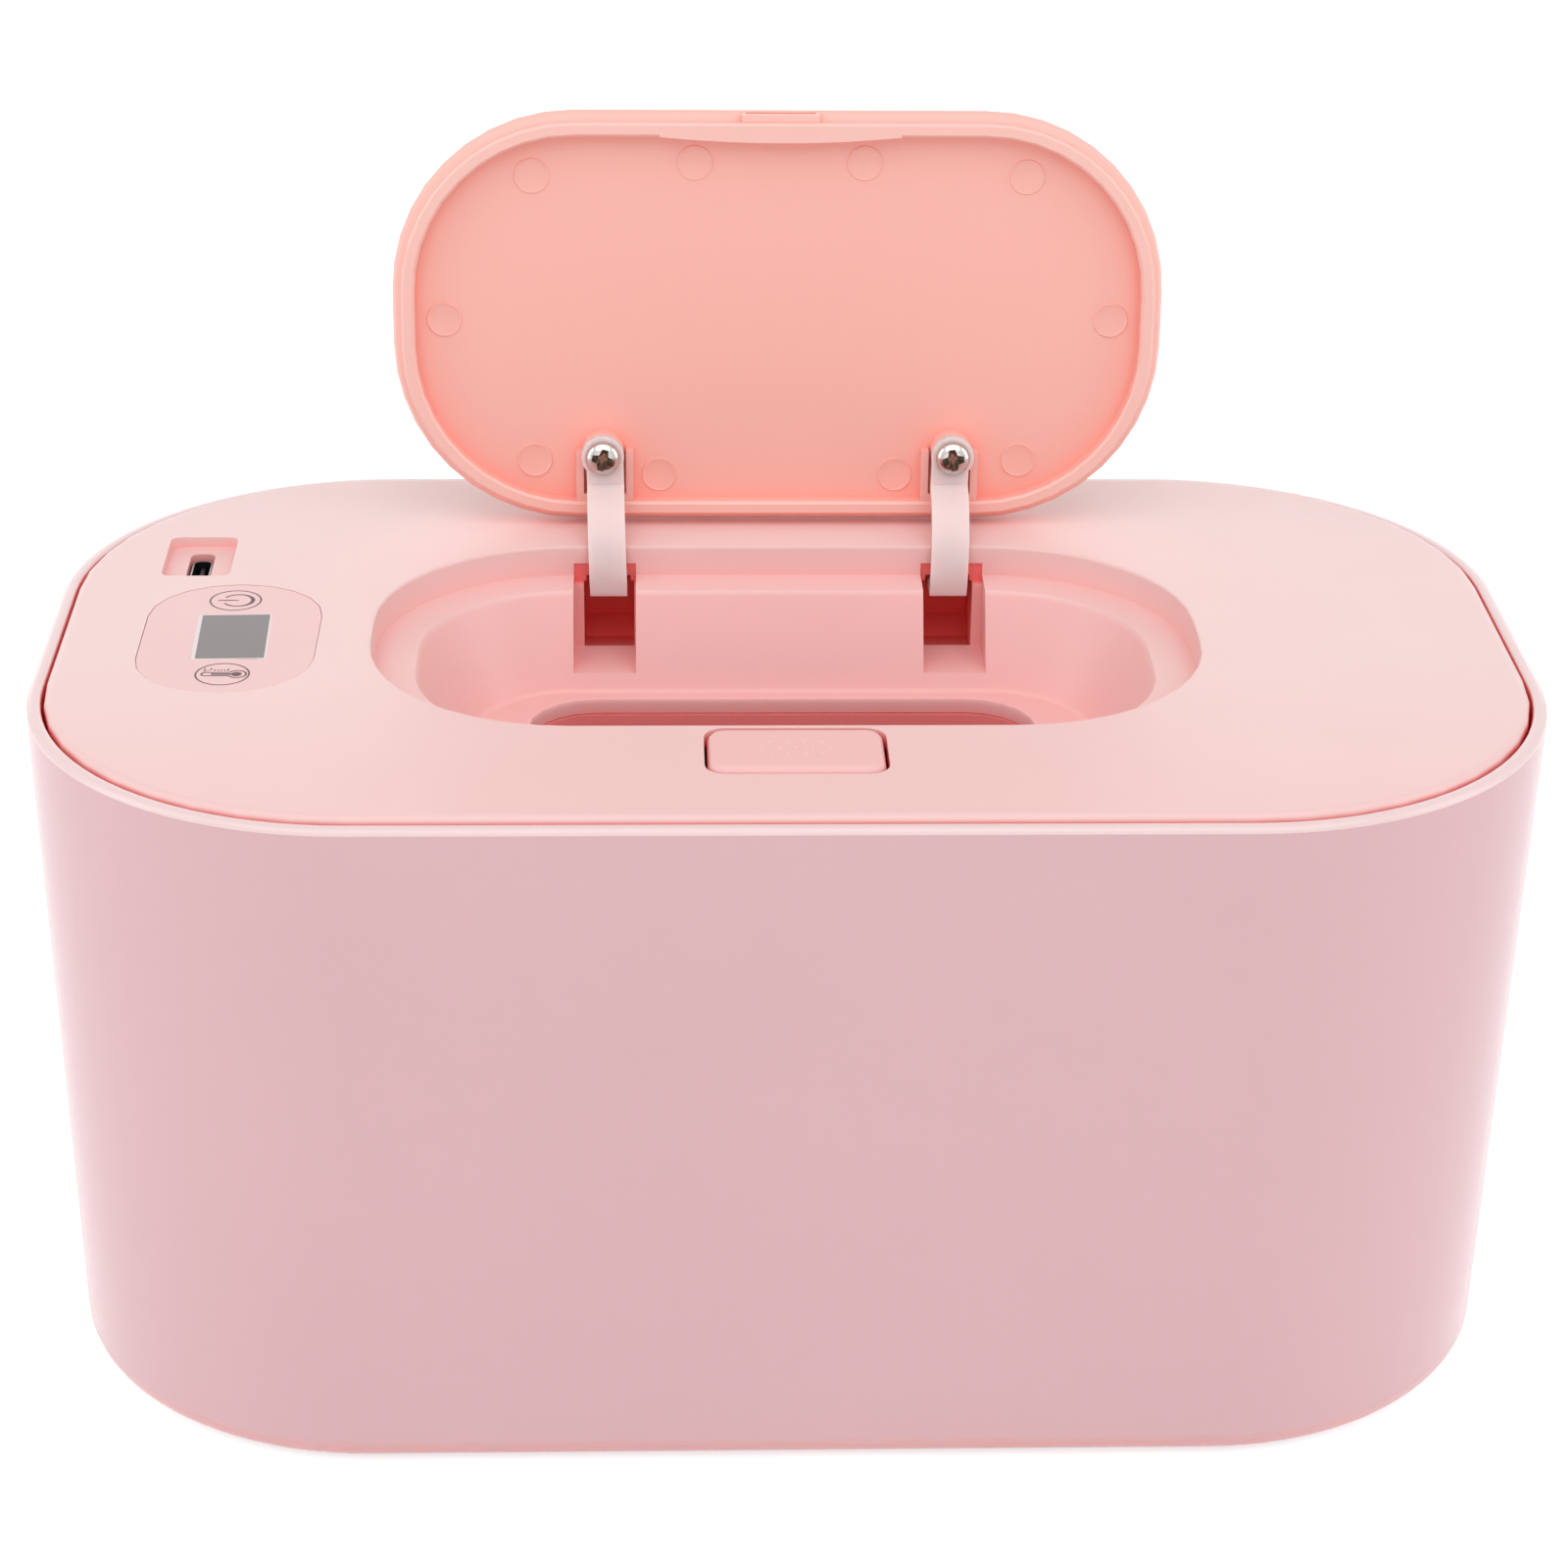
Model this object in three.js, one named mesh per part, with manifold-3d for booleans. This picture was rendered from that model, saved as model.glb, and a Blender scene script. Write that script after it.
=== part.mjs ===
// Baby wipe warmer: an open tub, a lift-off heated cover with a dispensing well,
// a flip lid on two gooseneck arms, and a rocking latch button.
// Millimetres, +Z up, X to the right, Y to the back. The origin is the middle of the base, on the table.
// The lid is drawn shut in its recess and stands open at rest, turned back about its hinge pins.

import * as THREE from 'three';
import { mergeVertices } from 'three/addons/utils/BufferGeometryUtils.js';
import Module from 'manifold-3d';

// Tub
const tubWidth = 230;
const tubDepth = 139.1;
const tubHeight = 109.3;
const tubCorner = 50.8;
const tubDraft = 2.9;
const tubWall = 2.2;
const tubFloor = 2.4;
const tubBaseFillet = 3.9;
const tubInnerFillet = 3;
const rimOuterRadius = 0.9;
const rimInnerRadius = 0.5;

// Seat ribs inside the tub, which carry the cover's edge
const seatRibWidth = 2;
const seatRibReach = 1.9;
const seatRibHeight = 12;
const seatRibFlat = 3;
const seatRibSideShare = 0.42;
const seatRibEndShare = 0.16;

// Rubber feet in pockets under the tub
const footRadius = 5.5;
const footHeight = 2;
const footProud = 0.8;
const footEdge = 0.5;
const footCornerAngle = 45;
const footInset = 17;

// Cover: plate, skirt and fits
const coverGap = 0.45;
const coverProud = 0.8;
const plateThickness = 2.2;
const plateEdgeRadius = 1.3;
const skirtInset = 2.4;
const skirtWall = 1.8;
const skirtDepth = 28.4;
const seatGap = 0.2;
const looseFit = 0.4;

// Dispensing well in the cover
const recessEndMargin = 50.7;
const recessDepth = 70.7;
const recessCorner = 31;
const recessY = 0;
const recessEdgeRadius = 0.6;
const ledgeDrop = 5.06;
const ledgeWidth = 7;
const ledgeEdgeRadius = 0.8;
const wellDrop = 19.8;
const wellSlope = 7.6;
const wellFloorFillet = 0.7;
const wellWall = 2;
const wellFloor = 2.6;

// Dispensing opening in the well's floor
const openingEndMargin = 9.3;
const openingSideMargin = 2.35;
const openingCorner = 10.5;
const openingEdgeRadius = 0.9;

// Lid
const lidSideGap = 1.2;
const lidEndGap = 1.1;
const lidProud = 0.4;
const lidRimHeight = 3.3;
const lidThickness = 1.8;
const lidEdgeRadius = 1.5;
const lidInnerEdge = 1.7;
const lidRingInset = 1.5;
const lidRingWidth = 2.2;
const lidRingEdge = 0.4;
const lidRingLift = 0.36;
const lidOpenAngle = 94;
const ringBulgeLength = 39;
const ringBulgeDepth = 0.95;
const lidBossRadius = 3.45;
const lidBossHeight = 3.3;
const lidBossSkin = 0.8;
const guideRibWidth = 1.2;
const guideRibHeight = 2.5;
const guideRibLength = 8.5;
const guideRibSpread = 9.4;

// Hinge
const hingePivotBehindRecess = 6.43;
const hingePivotDrop = 6.9;
const hingeFromCorner = 4.4;
const hingePinRadius = 1;
const hingePinGrip = 1.3;
const pinFit = 0.06;
const armWidth = 6.1;
const armThickness = 1.7;
const armHeadRadius = 3.5;
const armScrewSetback = 11.9;
const armArcRadius = 13.35;
const armArcForward = 1.98;
const armArcLift = 3.75;
const armBackFromPin = 1.42;
const armOffset = 0.3;
const armLean = 0.6;
const armBarrelRadius = 2.9;
const armKeyWidth = 4.2;
const armKeyLength = 3;

// Hinge pockets in the well's rear wall
const pocketWidth = 10.2;
const pocketRoof = 3;
const pocketSill = 17;
const pocketSillDepth = 1.65;
const chamberWidth = 8.3;
const chamberShift = 0.7;
const chamberDrop = 19.2;
const chamberBack = 4.1;
const chamberCorner = 3;
const pocketWall = 1.6;
const lintelSetback = 0.35;
const lintelThickness = 1.5;
const lintelDrop = 6.2;
const lintelNotchDrop = 5.2;
const lintelNotchFit = 0.6;

// Latch button
const buttonWidth = 26;
const buttonDepth = 14.7;
const buttonCorner = 2.7;
const buttonRearGap = 1.95;
const buttonSideFit = 0.45;
const buttonFrontFit = 0.8;
const buttonProud = 0.4;
const buttonBelow = 2.4;
const buttonEdgeRadius = 1.5;
const buttonPivotBehindPad = 2;
const buttonPivotDrop = 10;
const buttonBarrelRadius = 2.3;
const buttonLegWidth = 21;
const buttonLegThickness = 3;
const buttonRunning = 0.5;
const latchPinRadius = 1;
const latchEarThickness = 1.6;
const latchEarHalfDepth = 2.8;

// Latch hook and the lid's catch
const hookWidth = 10.8;
const hookThickness = 1;
const hookDrop = 2;
const hookBite = 0.3;
const hookSlotFit = 0.8;
const hookSlotRise = 0.8;
const hookSlotFall = 1.5;
const catchWidth = 12.6;
const catchSide = 0.7;
const catchSetback = 0.25;
const catchDrop = 3.9;
const catchBar = 0.8;
const catchPocketRise = 0.2;
const catchPocketDepth = 1.3;

// Spring under the button, on a post of the under cover
const latchSpringRadius = 2.4;
const latchSpringWire = 0.35;
const latchSpringTurns = 6;
const latchSpringForward = 8;
const latchPostRadius = 3.4;
const latchPostTopDrop = 14;

// Control panel on the cover's left side
const panelSetIn = 8;
const panelWidth = 27.3;
const panelDepth = 42.6;
const panelCorner = 13;
const panelInset = 0.5;
const panelFit = 0.2;
const panelSheet = 0.4;
const panelBed = 0.05;
const displayWidth = 10.5;
const displayDepth = 17.1;
const displayCorner = 0.4;
const displayLap = 0.5;
const displayWindowFit = 0.15;
const displayBodyMargin = 1.4;
const touchSpringOffset = 14.7;
const touchSpringRadius = 3;
const touchSpringWire = 0.35;
const touchSpringTurns = 4;

// Power socket, standing on the control board with its mouth up
const socketInset = 15.615;
const socketAngle = 22.3;
const socketPanelGap = 3.75;
const socketPocketWidth = 11;
const socketPocketDepth = 16.7;
const socketPocketDrop = 1.7;
const socketPocketCorner = 1.5;
const socketWidth = 3.26;
const socketDepth = 8.94;
const socketCorner = 1.4;
const socketShell = 0.3;
const socketSlotFit = 0.35;
const socketSetback = 0.9;
const socketMouth = 5.5;
const tongueWidth = 0.7;
const tongueDepth = 6.7;
const tongueHeight = 4.6;
const socketFloorThickening = 1.6;

// Control board under the panel
const boardDrop = 10.4;
const boardThickness = 1.6;
const boardWidth = 31;
const boardDepth = 66;
const boardPastSocket = 6.7;
const boardBehindSocket = 9.9;
const boardChamfer = 6;
const boardScrewMargin = 4;
const boardBossRadius = 2.8;
const chipSize = 8;
const chipHeight = 1.4;
const coilSize = 6;
const coilHeight = 3;

// Under cover, which closes the cover from below
const underFloor = 2;
const collarInset = 0.3;
const collarWall = 1.6;
const collarLip = 1.4;
const windowEndGrowth = 3.7;
const windowSideGrowth = 4.65;
const windowCorner = 26;
const windowMargin = 3;
const bridgeWidth = 9;

// Heating stack between the under cover and the well's floor
const heaterThickness = 1;
const heaterLap = 3;
const filmThickness = 0.4;
const filmSetback = 0.6;
const filmHoleMargin = 2.5;
const insulationSetback = 4;
const sensorRadius = 0.9;
const sensorLength = 4.2;
const sensorY = 12;
const leadRadius = 0.7;
const leadSpacing = 3.2;

// Screws
const coverScrewShank = 1.4;
const coverScrewHead = 2.7;
const coverScrewHeadHeight = 1.5;
const coverScrewLength = 9;
const coverBossRadius = 3.4;
const coverBossInset = 4.4;
const coverBossAngle = 52;
const frontBossBesideButton = 5.5;
const counterboreDepth = 0.9;
const boardScrewShank = 1.1;
const boardScrewHead = 2.1;
const boardScrewHeadHeight = 1.2;
const boardScrewLength = 6;
const armScrewShank = 1.4;
const armScrewHead = 2.85;
const armScrewHeadHeight = 1.9;
const armScrewLength = 5.6;
const screwFit = 0.08;
const crossShare = 0.62;
const crossBladeShare = 0.24;
const crossDepthShare = 0.6;
const bevelShare = 0.3;

// Cutting overrun past a face, and the fineness of curves
const overrun = 2;
const cornerSteps = 10;
const smallCornerSteps = 5;
const filletSteps = 3;
const pinSides = 16;
const boreSides = 24;
const headSides = 20;

// Places worked out from the sizes above
const plateTop = tubHeight + coverProud;
const plateUnder = plateTop - plateThickness;
const tubBase = footProud;
const plateInset = tubWall + coverGap;
const skirtBottom = plateTop - skirtDepth;
const underTop = skirtBottom + underFloor;
const recessWidth = tubWidth - 2 * recessEndMargin;
const recessBack = recessY + recessDepth / 2;
const recessFront = recessY - recessDepth / 2;
const wellFootInset = ledgeWidth + wellSlope;
const openingWidth = recessWidth - 2 * (wellFootInset + openingEndMargin);
const openingDepth = recessDepth - 2 * (wellFootInset + openingSideMargin);
const windowWidth = recessWidth + 2 * windowEndGrowth;
const windowDepth = recessDepth + 2 * windowSideGrowth;
const hingeY = recessBack + hingePivotBehindRecess;
const hingeZ = plateTop - hingePivotDrop;
const lidTop = plateTop + lidProud;
const lidUnder = lidTop - lidThickness;
const lidRimBottom = lidTop - lidRimHeight;
const lidRingBottom = plateTop - ledgeDrop + lidRingLift;
const lidFront = recessFront + lidEndGap;
const lidBack = recessBack - lidEndGap;
const armX = recessWidth / 2 - recessCorner - hingeFromCorner;
const pocketX = armX - armOffset;
const barrelX = pocketX - armLean;
const chamberX = pocketX - chamberShift;
const armScrewY = lidBack - armScrewSetback;
const armHeadTop = lidUnder - lidBossHeight - seatGap;
const armHeadFace = armHeadTop - armThickness;
const buttonBack = recessFront - buttonRearGap;
const buttonFront = buttonBack - buttonDepth;
const buttonY = (buttonBack + buttonFront) / 2;
const buttonPivotY = buttonBack - buttonPivotBehindPad;
const buttonPivotZ = plateTop - buttonPivotDrop;
const hookTop = plateTop - hookDrop;
const hookBottom = hookTop - hookThickness;
const catchBottom = plateTop - catchDrop;
const boardTop = plateTop - boardDrop;
const collarOuterGrow = collarWall - collarInset;
const wellFloorUnder = plateTop - wellDrop - wellFloor;
const heaterBottom = underTop + seatGap;
const filmBottom = heaterBottom + heaterThickness + seatGap;
const insulationBottom = filmBottom + filmThickness + seatGap;

const wasm = await Module();
wasm.setup();

// Solids and their joins

function toSolid(geometry) {
  const bare = geometry.clone();
  bare.deleteAttribute('normal');
  bare.deleteAttribute('uv');
  const merged = mergeVertices(bare);
  const vertProperties = new Float32Array(merged.attributes.position.array);
  const triVerts = new Uint32Array(merged.index.array);
  return new wasm.Manifold(new wasm.Mesh({ numProp: 3, vertProperties, triVerts }));
}

function join(first, ...others) {
  return others.reduce((whole, other) => whole.add(other), first);
}

function cut(first, ...others) {
  return others.reduce((whole, other) => whole.subtract(other), first);
}

function toMesh(name, solid, material) {
  const { vertProperties, triVerts } = solid.getMesh();
  const geometry = new THREE.BufferGeometry();
  geometry.setAttribute('position', new THREE.BufferAttribute(new Float32Array(vertProperties), 3));
  geometry.setIndex(new THREE.BufferAttribute(new Uint32Array(triVerts), 1));
  geometry.computeVertexNormals();
  const mesh = new THREE.Mesh(geometry, material);
  mesh.name = name;
  return mesh;
}

// Outlines and lofts

// A rounded rectangle seen from above, which every ring of a loft is drawn in from
function outline(width, depth, corner, x, y, steps) {
  return { width, depth, corner, x, y, steps };
}

function grown(shape, amount) {
  const { width, depth, corner, x, y, steps } = shape;
  return outline(width + 2 * amount, depth + 2 * amount, corner + amount, x, y, steps);
}

function ring(shape, inset, z) {
  const radius = shape.corner - inset;
  const centreX = shape.width / 2 - shape.corner;
  const centreY = shape.depth / 2 - shape.corner;
  const points = [];
  for (let quarter = 0; quarter < 4; quarter += 1) {
    const sideX = quarter === 0 || quarter === 3 ? 1 : -1;
    const sideY = quarter < 2 ? 1 : -1;
    for (let step = 0; step <= shape.steps; step += 1) {
      const angle = (quarter + step / shape.steps) * Math.PI / 2;
      const pointX = shape.x + sideX * centreX + radius * Math.cos(angle);
      const pointY = shape.y + sideY * centreY + radius * Math.sin(angle);
      points.push(new THREE.Vector3(pointX, pointY, z));
    }
  }
  return points;
}

// A closed solid through rings of the same count, from the lowest to the highest
function loft(rings) {
  const count = rings[0].length;
  const positions = rings.flat().flatMap((point) => [point.x, point.y, point.z]);
  const index = [];
  for (let level = 0; level + 1 < rings.length; level += 1) {
    for (let i = 0; i < count; i += 1) {
      const next = (i + 1) % count;
      const lowA = level * count + i;
      const lowB = level * count + next;
      const highA = lowA + count;
      const highB = lowB + count;
      index.push(lowA, lowB, highB, lowA, highB, highA);
    }
  }
  const top = (rings.length - 1) * count;
  for (let i = 1; i + 1 < count; i += 1) {
    index.push(0, i + 1, i, top, top + i, top + i + 1);
  }
  const geometry = new THREE.BufferGeometry();
  geometry.setAttribute('position', new THREE.Float32BufferAttribute(positions, 3));
  geometry.setIndex(index);
  return toSolid(geometry);
}

// Steps of inset and height that turn a vertical side into a flat top over a radius
function roundOver(radius, topZ, steps) {
  const levels = [];
  for (let step = 0; step <= steps; step += 1) {
    const angle = step / steps * Math.PI / 2;
    levels.push([radius * (1 - Math.cos(angle)), topZ - radius * (1 - Math.sin(angle))]);
  }
  return levels;
}

// The same turn the other way up, from a flat bottom out to a vertical side
function roundUnder(radius, bottomZ, steps) {
  return roundOver(radius, 0, steps).reverse().map(([inset, drop]) => [inset, bottomZ - drop]);
}

function levelLoft(shape, levels) {
  return loft(levels.map(([inset, z]) => ring(shape, inset, z)));
}

function slab(shape, lowZ, highZ) {
  return levelLoft(shape, [[0, lowZ], [0, highZ]]);
}

// Simple forms

function block(width, depth, height, x, y, lowZ) {
  return toSolid(new THREE.BoxGeometry(width, depth, height).translate(x, y, lowZ + height / 2));
}

function post(radius, lowZ, highZ, x, y, sides) {
  const geometry = new THREE.CylinderGeometry(radius, radius, highZ - lowZ, sides);
  geometry.rotateX(Math.PI / 2);
  return toSolid(geometry.translate(x, y, (lowZ + highZ) / 2));
}

// A round bar along X
function bar(radius, length, x, y, z, sides) {
  const geometry = new THREE.CylinderGeometry(radius, radius, length, sides);
  geometry.rotateZ(Math.PI / 2);
  return toSolid(geometry.translate(x, y, z));
}

// A side profile of [y, z] points, extruded along X about its middle
function sideProfile(points, width, x) {
  const shape = new THREE.Shape(points.map(([y, z]) => new THREE.Vector2(y, z)));
  const geometry = new THREE.ExtrudeGeometry(shape, { depth: width, bevelEnabled: false });
  geometry.translate(0, 0, -width / 2);
  const basis = new THREE.Matrix4().makeBasis(
    new THREE.Vector3(0, 1, 0), new THREE.Vector3(0, 0, 1), new THREE.Vector3(1, 0, 0));
  geometry.applyMatrix4(basis);
  return toSolid(geometry.translate(x, 0, 0));
}

function arcPoints(centreY, centreZ, radius, fromAngle, toAngle, steps) {
  const points = [];
  for (let step = 0; step <= steps; step += 1) {
    const angle = fromAngle + (toAngle - fromAngle) * step / steps;
    points.push([centreY + radius * Math.cos(angle), centreZ + radius * Math.sin(angle)]);
  }
  return points;
}

function turned(profile, sides) {
  const points = profile.map(([radius, z]) => new THREE.Vector2(radius, z));
  const geometry = new THREE.LatheGeometry(points, sides);
  geometry.rotateX(Math.PI / 2);
  return geometry;
}

class Helix extends THREE.Curve {
  constructor(radius, height, turns) {
    super();
    this.radius = radius;
    this.height = height;
    this.turns = turns;
  }

  getPoint(share, target = new THREE.Vector3()) {
    const angle = share * this.turns * Math.PI * 2;
    const x = this.radius * Math.cos(angle);
    const y = this.radius * Math.sin(angle);
    return target.set(x, y, share * this.height);
  }
}

function tube(path, radius, sides, steps) {
  const section = new THREE.Shape();
  for (let side = 0; side < sides; side += 1) {
    const angle = side / sides * Math.PI * 2;
    const x = radius * Math.cos(angle);
    const y = radius * Math.sin(angle);
    if (side === 0) section.moveTo(x, y);
    else section.lineTo(x, y);
  }
  section.closePath();
  return new THREE.ExtrudeGeometry(section, { steps, extrudePath: path });
}

function coilSpring(radius, wire, turns, lowZ, highZ, x, y) {
  const stepsPerTurn = 8;
  const wireSides = 5;
  const helix = new Helix(radius, highZ - lowZ - 2 * wire, turns);
  const geometry = tube(helix, wire, wireSides, turns * stepsPerTurn);
  return toSolid(geometry.translate(x, y, lowZ + wire));
}

// A pan-head screw with a cross recess: its head hangs below z and its shank points up
function panScrew(shank, head, headHeight, length, x, y, z) {
  const rimShare = 0.25;
  const domeShare = 0.7;
  const tipShare = 0.4;
  const profile = [
    [0, -headHeight],
    [head * domeShare, -headHeight * (1 - rimShare / 2)],
    [head, -headHeight * rimShare],
    [head, 0],
    [shank, 0],
    [shank, length - shank],
    [shank * tipShare, length],
    [0, length],
  ];
  const body = toSolid(turned(profile, headSides));
  const blade = head * 2 * crossShare;
  const thickness = head * 2 * crossBladeShare;
  const depth = headHeight * crossDepthShare;
  const along = block(blade, thickness, depth + overrun, 0, 0, -headHeight - overrun);
  const across = block(thickness, blade, depth + overrun, 0, 0, -headHeight - overrun);
  return cut(body, along, across).translate([x, y, z]);
}

// Finishes

function plastic(color, roughness) {
  return new THREE.MeshStandardMaterial({ color, roughness, metalness: 0 });
}

function metal(color, roughness) {
  return new THREE.MeshStandardMaterial({ color, roughness, metalness: 1 });
}

// Outlines that neighbours share

const tubOutline = outline(tubWidth, tubDepth, tubCorner, 0, 0, cornerSteps);
const plateOutline = grown(tubOutline, -plateInset);
const skirtOutline = grown(plateOutline, -skirtInset);
const underOutline = grown(skirtOutline, -skirtWall - looseFit);
const recessOutline = outline(recessWidth, recessDepth, recessCorner, 0, recessY, cornerSteps);
const openingOutline = outline(openingWidth, openingDepth, openingCorner, 0, recessY, smallCornerSteps);
const windowOutline = outline(windowWidth, windowDepth, windowCorner, 0, recessY, smallCornerSteps);
const [socketX, socketY] = cornerPlace(plateOutline, socketInset, socketAngle, -1, 1);
const panelX = socketX + panelSetIn;
const panelY = socketY - socketPocketDepth / 2 - socketPanelGap - panelDepth / 2;
const panelOutline = outline(panelWidth, panelDepth, panelCorner, panelX, panelY, smallCornerSteps);
const displayOutline = outline(displayWidth, displayDepth, displayCorner, panelX, panelY, 1);
const collarOutline = grown(openingOutline, collarOuterGrow);
const lidOutline = outline(recessWidth - 2 * lidSideGap, recessDepth - 2 * lidEndGap,
  recessCorner - (lidSideGap + lidEndGap) / 2, 0, recessY, cornerSteps);
const lidRingOutline = grown(lidOutline, -lidRingInset);
const padOutline = outline(buttonWidth, buttonDepth, buttonCorner, 0, buttonY, smallCornerSteps);

// The point at an angle from a corner arc's centre, in the quarter given by the two signs
function cornerPlace(shape, inset, angleDegrees, signX, signY) {
  const angle = THREE.MathUtils.degToRad(angleDegrees);
  const reach = shape.corner - inset;
  const x = signX * (shape.width / 2 - shape.corner + reach * Math.cos(angle));
  const y = signY * (shape.depth / 2 - shape.corner + reach * Math.sin(angle));
  return [x, y];
}

const quarters = [[-1, -1], [1, -1], [1, 1], [-1, 1]];
const footPlaces = quarters.map(([signX, signY]) =>
  cornerPlace(tubOutline, footInset, footCornerAngle, signX, signY));
const cornerBosses = quarters.map(([signX, signY]) =>
  cornerPlace(underOutline, coverBossInset, coverBossAngle, signX, signY));
const middleBossY = underOutline.depth / 2 - coverBossInset;
const frontBossX = buttonWidth / 2 + frontBossBesideButton;
const middleBosses = [[-frontBossX, -middleBossY], [frontBossX, -middleBossY], [0, middleBossY]];
const coverBossPlaces = [...cornerBosses, ...middleBosses];
const boardLeft = socketX - boardPastSocket;
const boardRight = boardLeft + boardWidth;
const boardBack = socketY + boardBehindSocket;
const boardFront = boardBack - boardDepth;
const boardScrewPlaces = [
  [boardLeft + boardScrewMargin, boardFront + boardScrewMargin],
  [boardRight - boardScrewMargin, boardFront + boardScrewMargin],
  [boardRight - boardScrewMargin, boardBack - boardScrewMargin],
];

// Tub and feet

function tubDraftAt(z) {
  return tubDraft * (tubHeight - z) / (tubHeight - tubBase);
}

function tubWallPlace(z) {
  return tubWall + tubDraftAt(z);
}

function seatRib(x, y, inwardX, inwardY) {
  const top = plateUnder - seatGap;
  const root = -tubWall / 2;
  const profile = [
    [root, top],
    [root, top - seatRibHeight],
    [tubDraftAt(top - seatRibHeight), top - seatRibHeight],
    [seatRibReach, top - seatRibFlat],
    [seatRibReach, top],
  ];
  const shape = new THREE.Shape(profile.map(([reach, z]) => new THREE.Vector2(reach, z)));
  const geometry = new THREE.ExtrudeGeometry(shape, { depth: seatRibWidth, bevelEnabled: false });
  geometry.translate(0, 0, -seatRibWidth / 2);
  const inward = new THREE.Vector3(inwardX, inwardY, 0);
  const up = new THREE.Vector3(0, 0, 1);
  const along = new THREE.Vector3().crossVectors(inward, up);
  geometry.applyMatrix4(new THREE.Matrix4().makeBasis(inward, up, along));
  return toSolid(geometry.translate(x, y, 0));
}

function seatRibs() {
  const wallX = tubWidth / 2 - tubWall;
  const wallY = tubDepth / 2 - tubWall;
  const alongFront = seatRibSideShare * tubWidth / 2;
  const alongEnd = seatRibEndShare * tubDepth / 2;
  const ribs = [];
  for (const sign of [-1, 1]) {
    ribs.push(seatRib(sign * alongFront, -wallY, 0, 1));
    ribs.push(seatRib(sign * alongFront, wallY, 0, -1));
    ribs.push(seatRib(-wallX, sign * alongEnd, 1, 0));
    ribs.push(seatRib(wallX, sign * alongEnd, -1, 0));
  }
  return ribs;
}

function outerShell() {
  const outerLevels = [
    ...roundUnder(tubBaseFillet, tubBase, filletSteps + 1).map(([inset, z]) => [inset + tubDraftAt(z), z]),
    ...roundOver(rimOuterRadius, tubHeight, filletSteps),
  ];
  const floorZ = tubBase + tubFloor;
  const innerLevels = [
    ...roundUnder(tubInnerFillet, floorZ, filletSteps).map(([inset, z]) => [inset + tubWallPlace(z), z]),
    [tubWall, tubHeight - rimInnerRadius],
    [tubWall - rimInnerRadius, tubHeight],
    [tubWall - rimInnerRadius, tubHeight + overrun],
  ];
  const shell = cut(levelLoft(tubOutline, outerLevels), levelLoft(tubOutline, innerLevels));
  const ceiling = footHeight + seatGap;
  const pockets = footPlaces.map(([x, y]) =>
    post(footRadius + looseFit, -overrun, ceiling, x, y, headSides));
  return cut(join(shell, ...seatRibs()), ...pockets);
}

function foot(x, y) {
  const profile = [
    [0, 0],
    [footRadius - footEdge, 0],
    [footRadius, footEdge],
    [footRadius, footHeight],
    [0, footHeight],
  ];
  return toSolid(turned(profile, headSides).translate(x, y, 0));
}

// Top cover

function wellCutter() {
  const ledgeZ = plateTop - ledgeDrop;
  const floorZ = plateTop - wellDrop;
  const levels = [
    [wellFootInset + wellFloorFillet, floorZ],
    [wellFootInset + wellFloorFillet * bevelShare, floorZ + wellFloorFillet * bevelShare],
    [wellFootInset - wellSlope * wellFloorFillet / (wellDrop - ledgeDrop), floorZ + wellFloorFillet],
    [ledgeWidth + ledgeEdgeRadius / 2, ledgeZ - ledgeEdgeRadius],
    [ledgeWidth - ledgeEdgeRadius / 2, ledgeZ],
    [0, ledgeZ],
    [0, plateTop - recessEdgeRadius],
    [-recessEdgeRadius * bevelShare, plateTop - recessEdgeRadius * bevelShare],
    [-recessEdgeRadius, plateTop],
    [-recessEdgeRadius, plateTop + overrun],
  ];
  return levelLoft(recessOutline, levels);
}

function wellShell() {
  const ledgeZ = plateTop - ledgeDrop - wellWall;
  const levels = [
    [wellFootInset - wellWall, wellFloorUnder],
    [ledgeWidth - wellWall, ledgeZ],
    [-wellWall, ledgeZ],
    [-wellWall, plateTop - plateThickness / 2],
  ];
  return levelLoft(recessOutline, levels);
}

function openingCutter() {
  const floorZ = plateTop - wellDrop;
  const half = openingEdgeRadius * bevelShare;
  const levels = [
    [0, wellFloorUnder - overrun],
    [0, floorZ - openingEdgeRadius],
    [-half, floorZ - half],
    [-openingEdgeRadius, floorZ],
    [-openingEdgeRadius, floorZ + overrun],
  ];
  return levelLoft(openingOutline, levels);
}

// The moulded box behind the well's rear wall that houses one hinge arm
function hingeHousing(side) {
  const front = recessBack - wellFootInset;
  const back = hingeY + chamberBack + pocketWall;
  const low = plateTop - chamberDrop - pocketWall;
  const sillUnder = plateTop - pocketSill - pocketWall;
  const sillBack = recessBack - pocketSillDepth - pocketWall;
  const profile = [
    [front, plateUnder + plateThickness / 2],
    [front, sillUnder],
    [sillBack, sillUnder],
    [sillBack, low],
    [back - chamberCorner, low],
    [back, low + chamberCorner],
    [back, plateUnder + plateThickness / 2],
  ];
  return sideProfile(profile, pocketWidth + 2 * pocketWall, side * pocketX);
}

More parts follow.
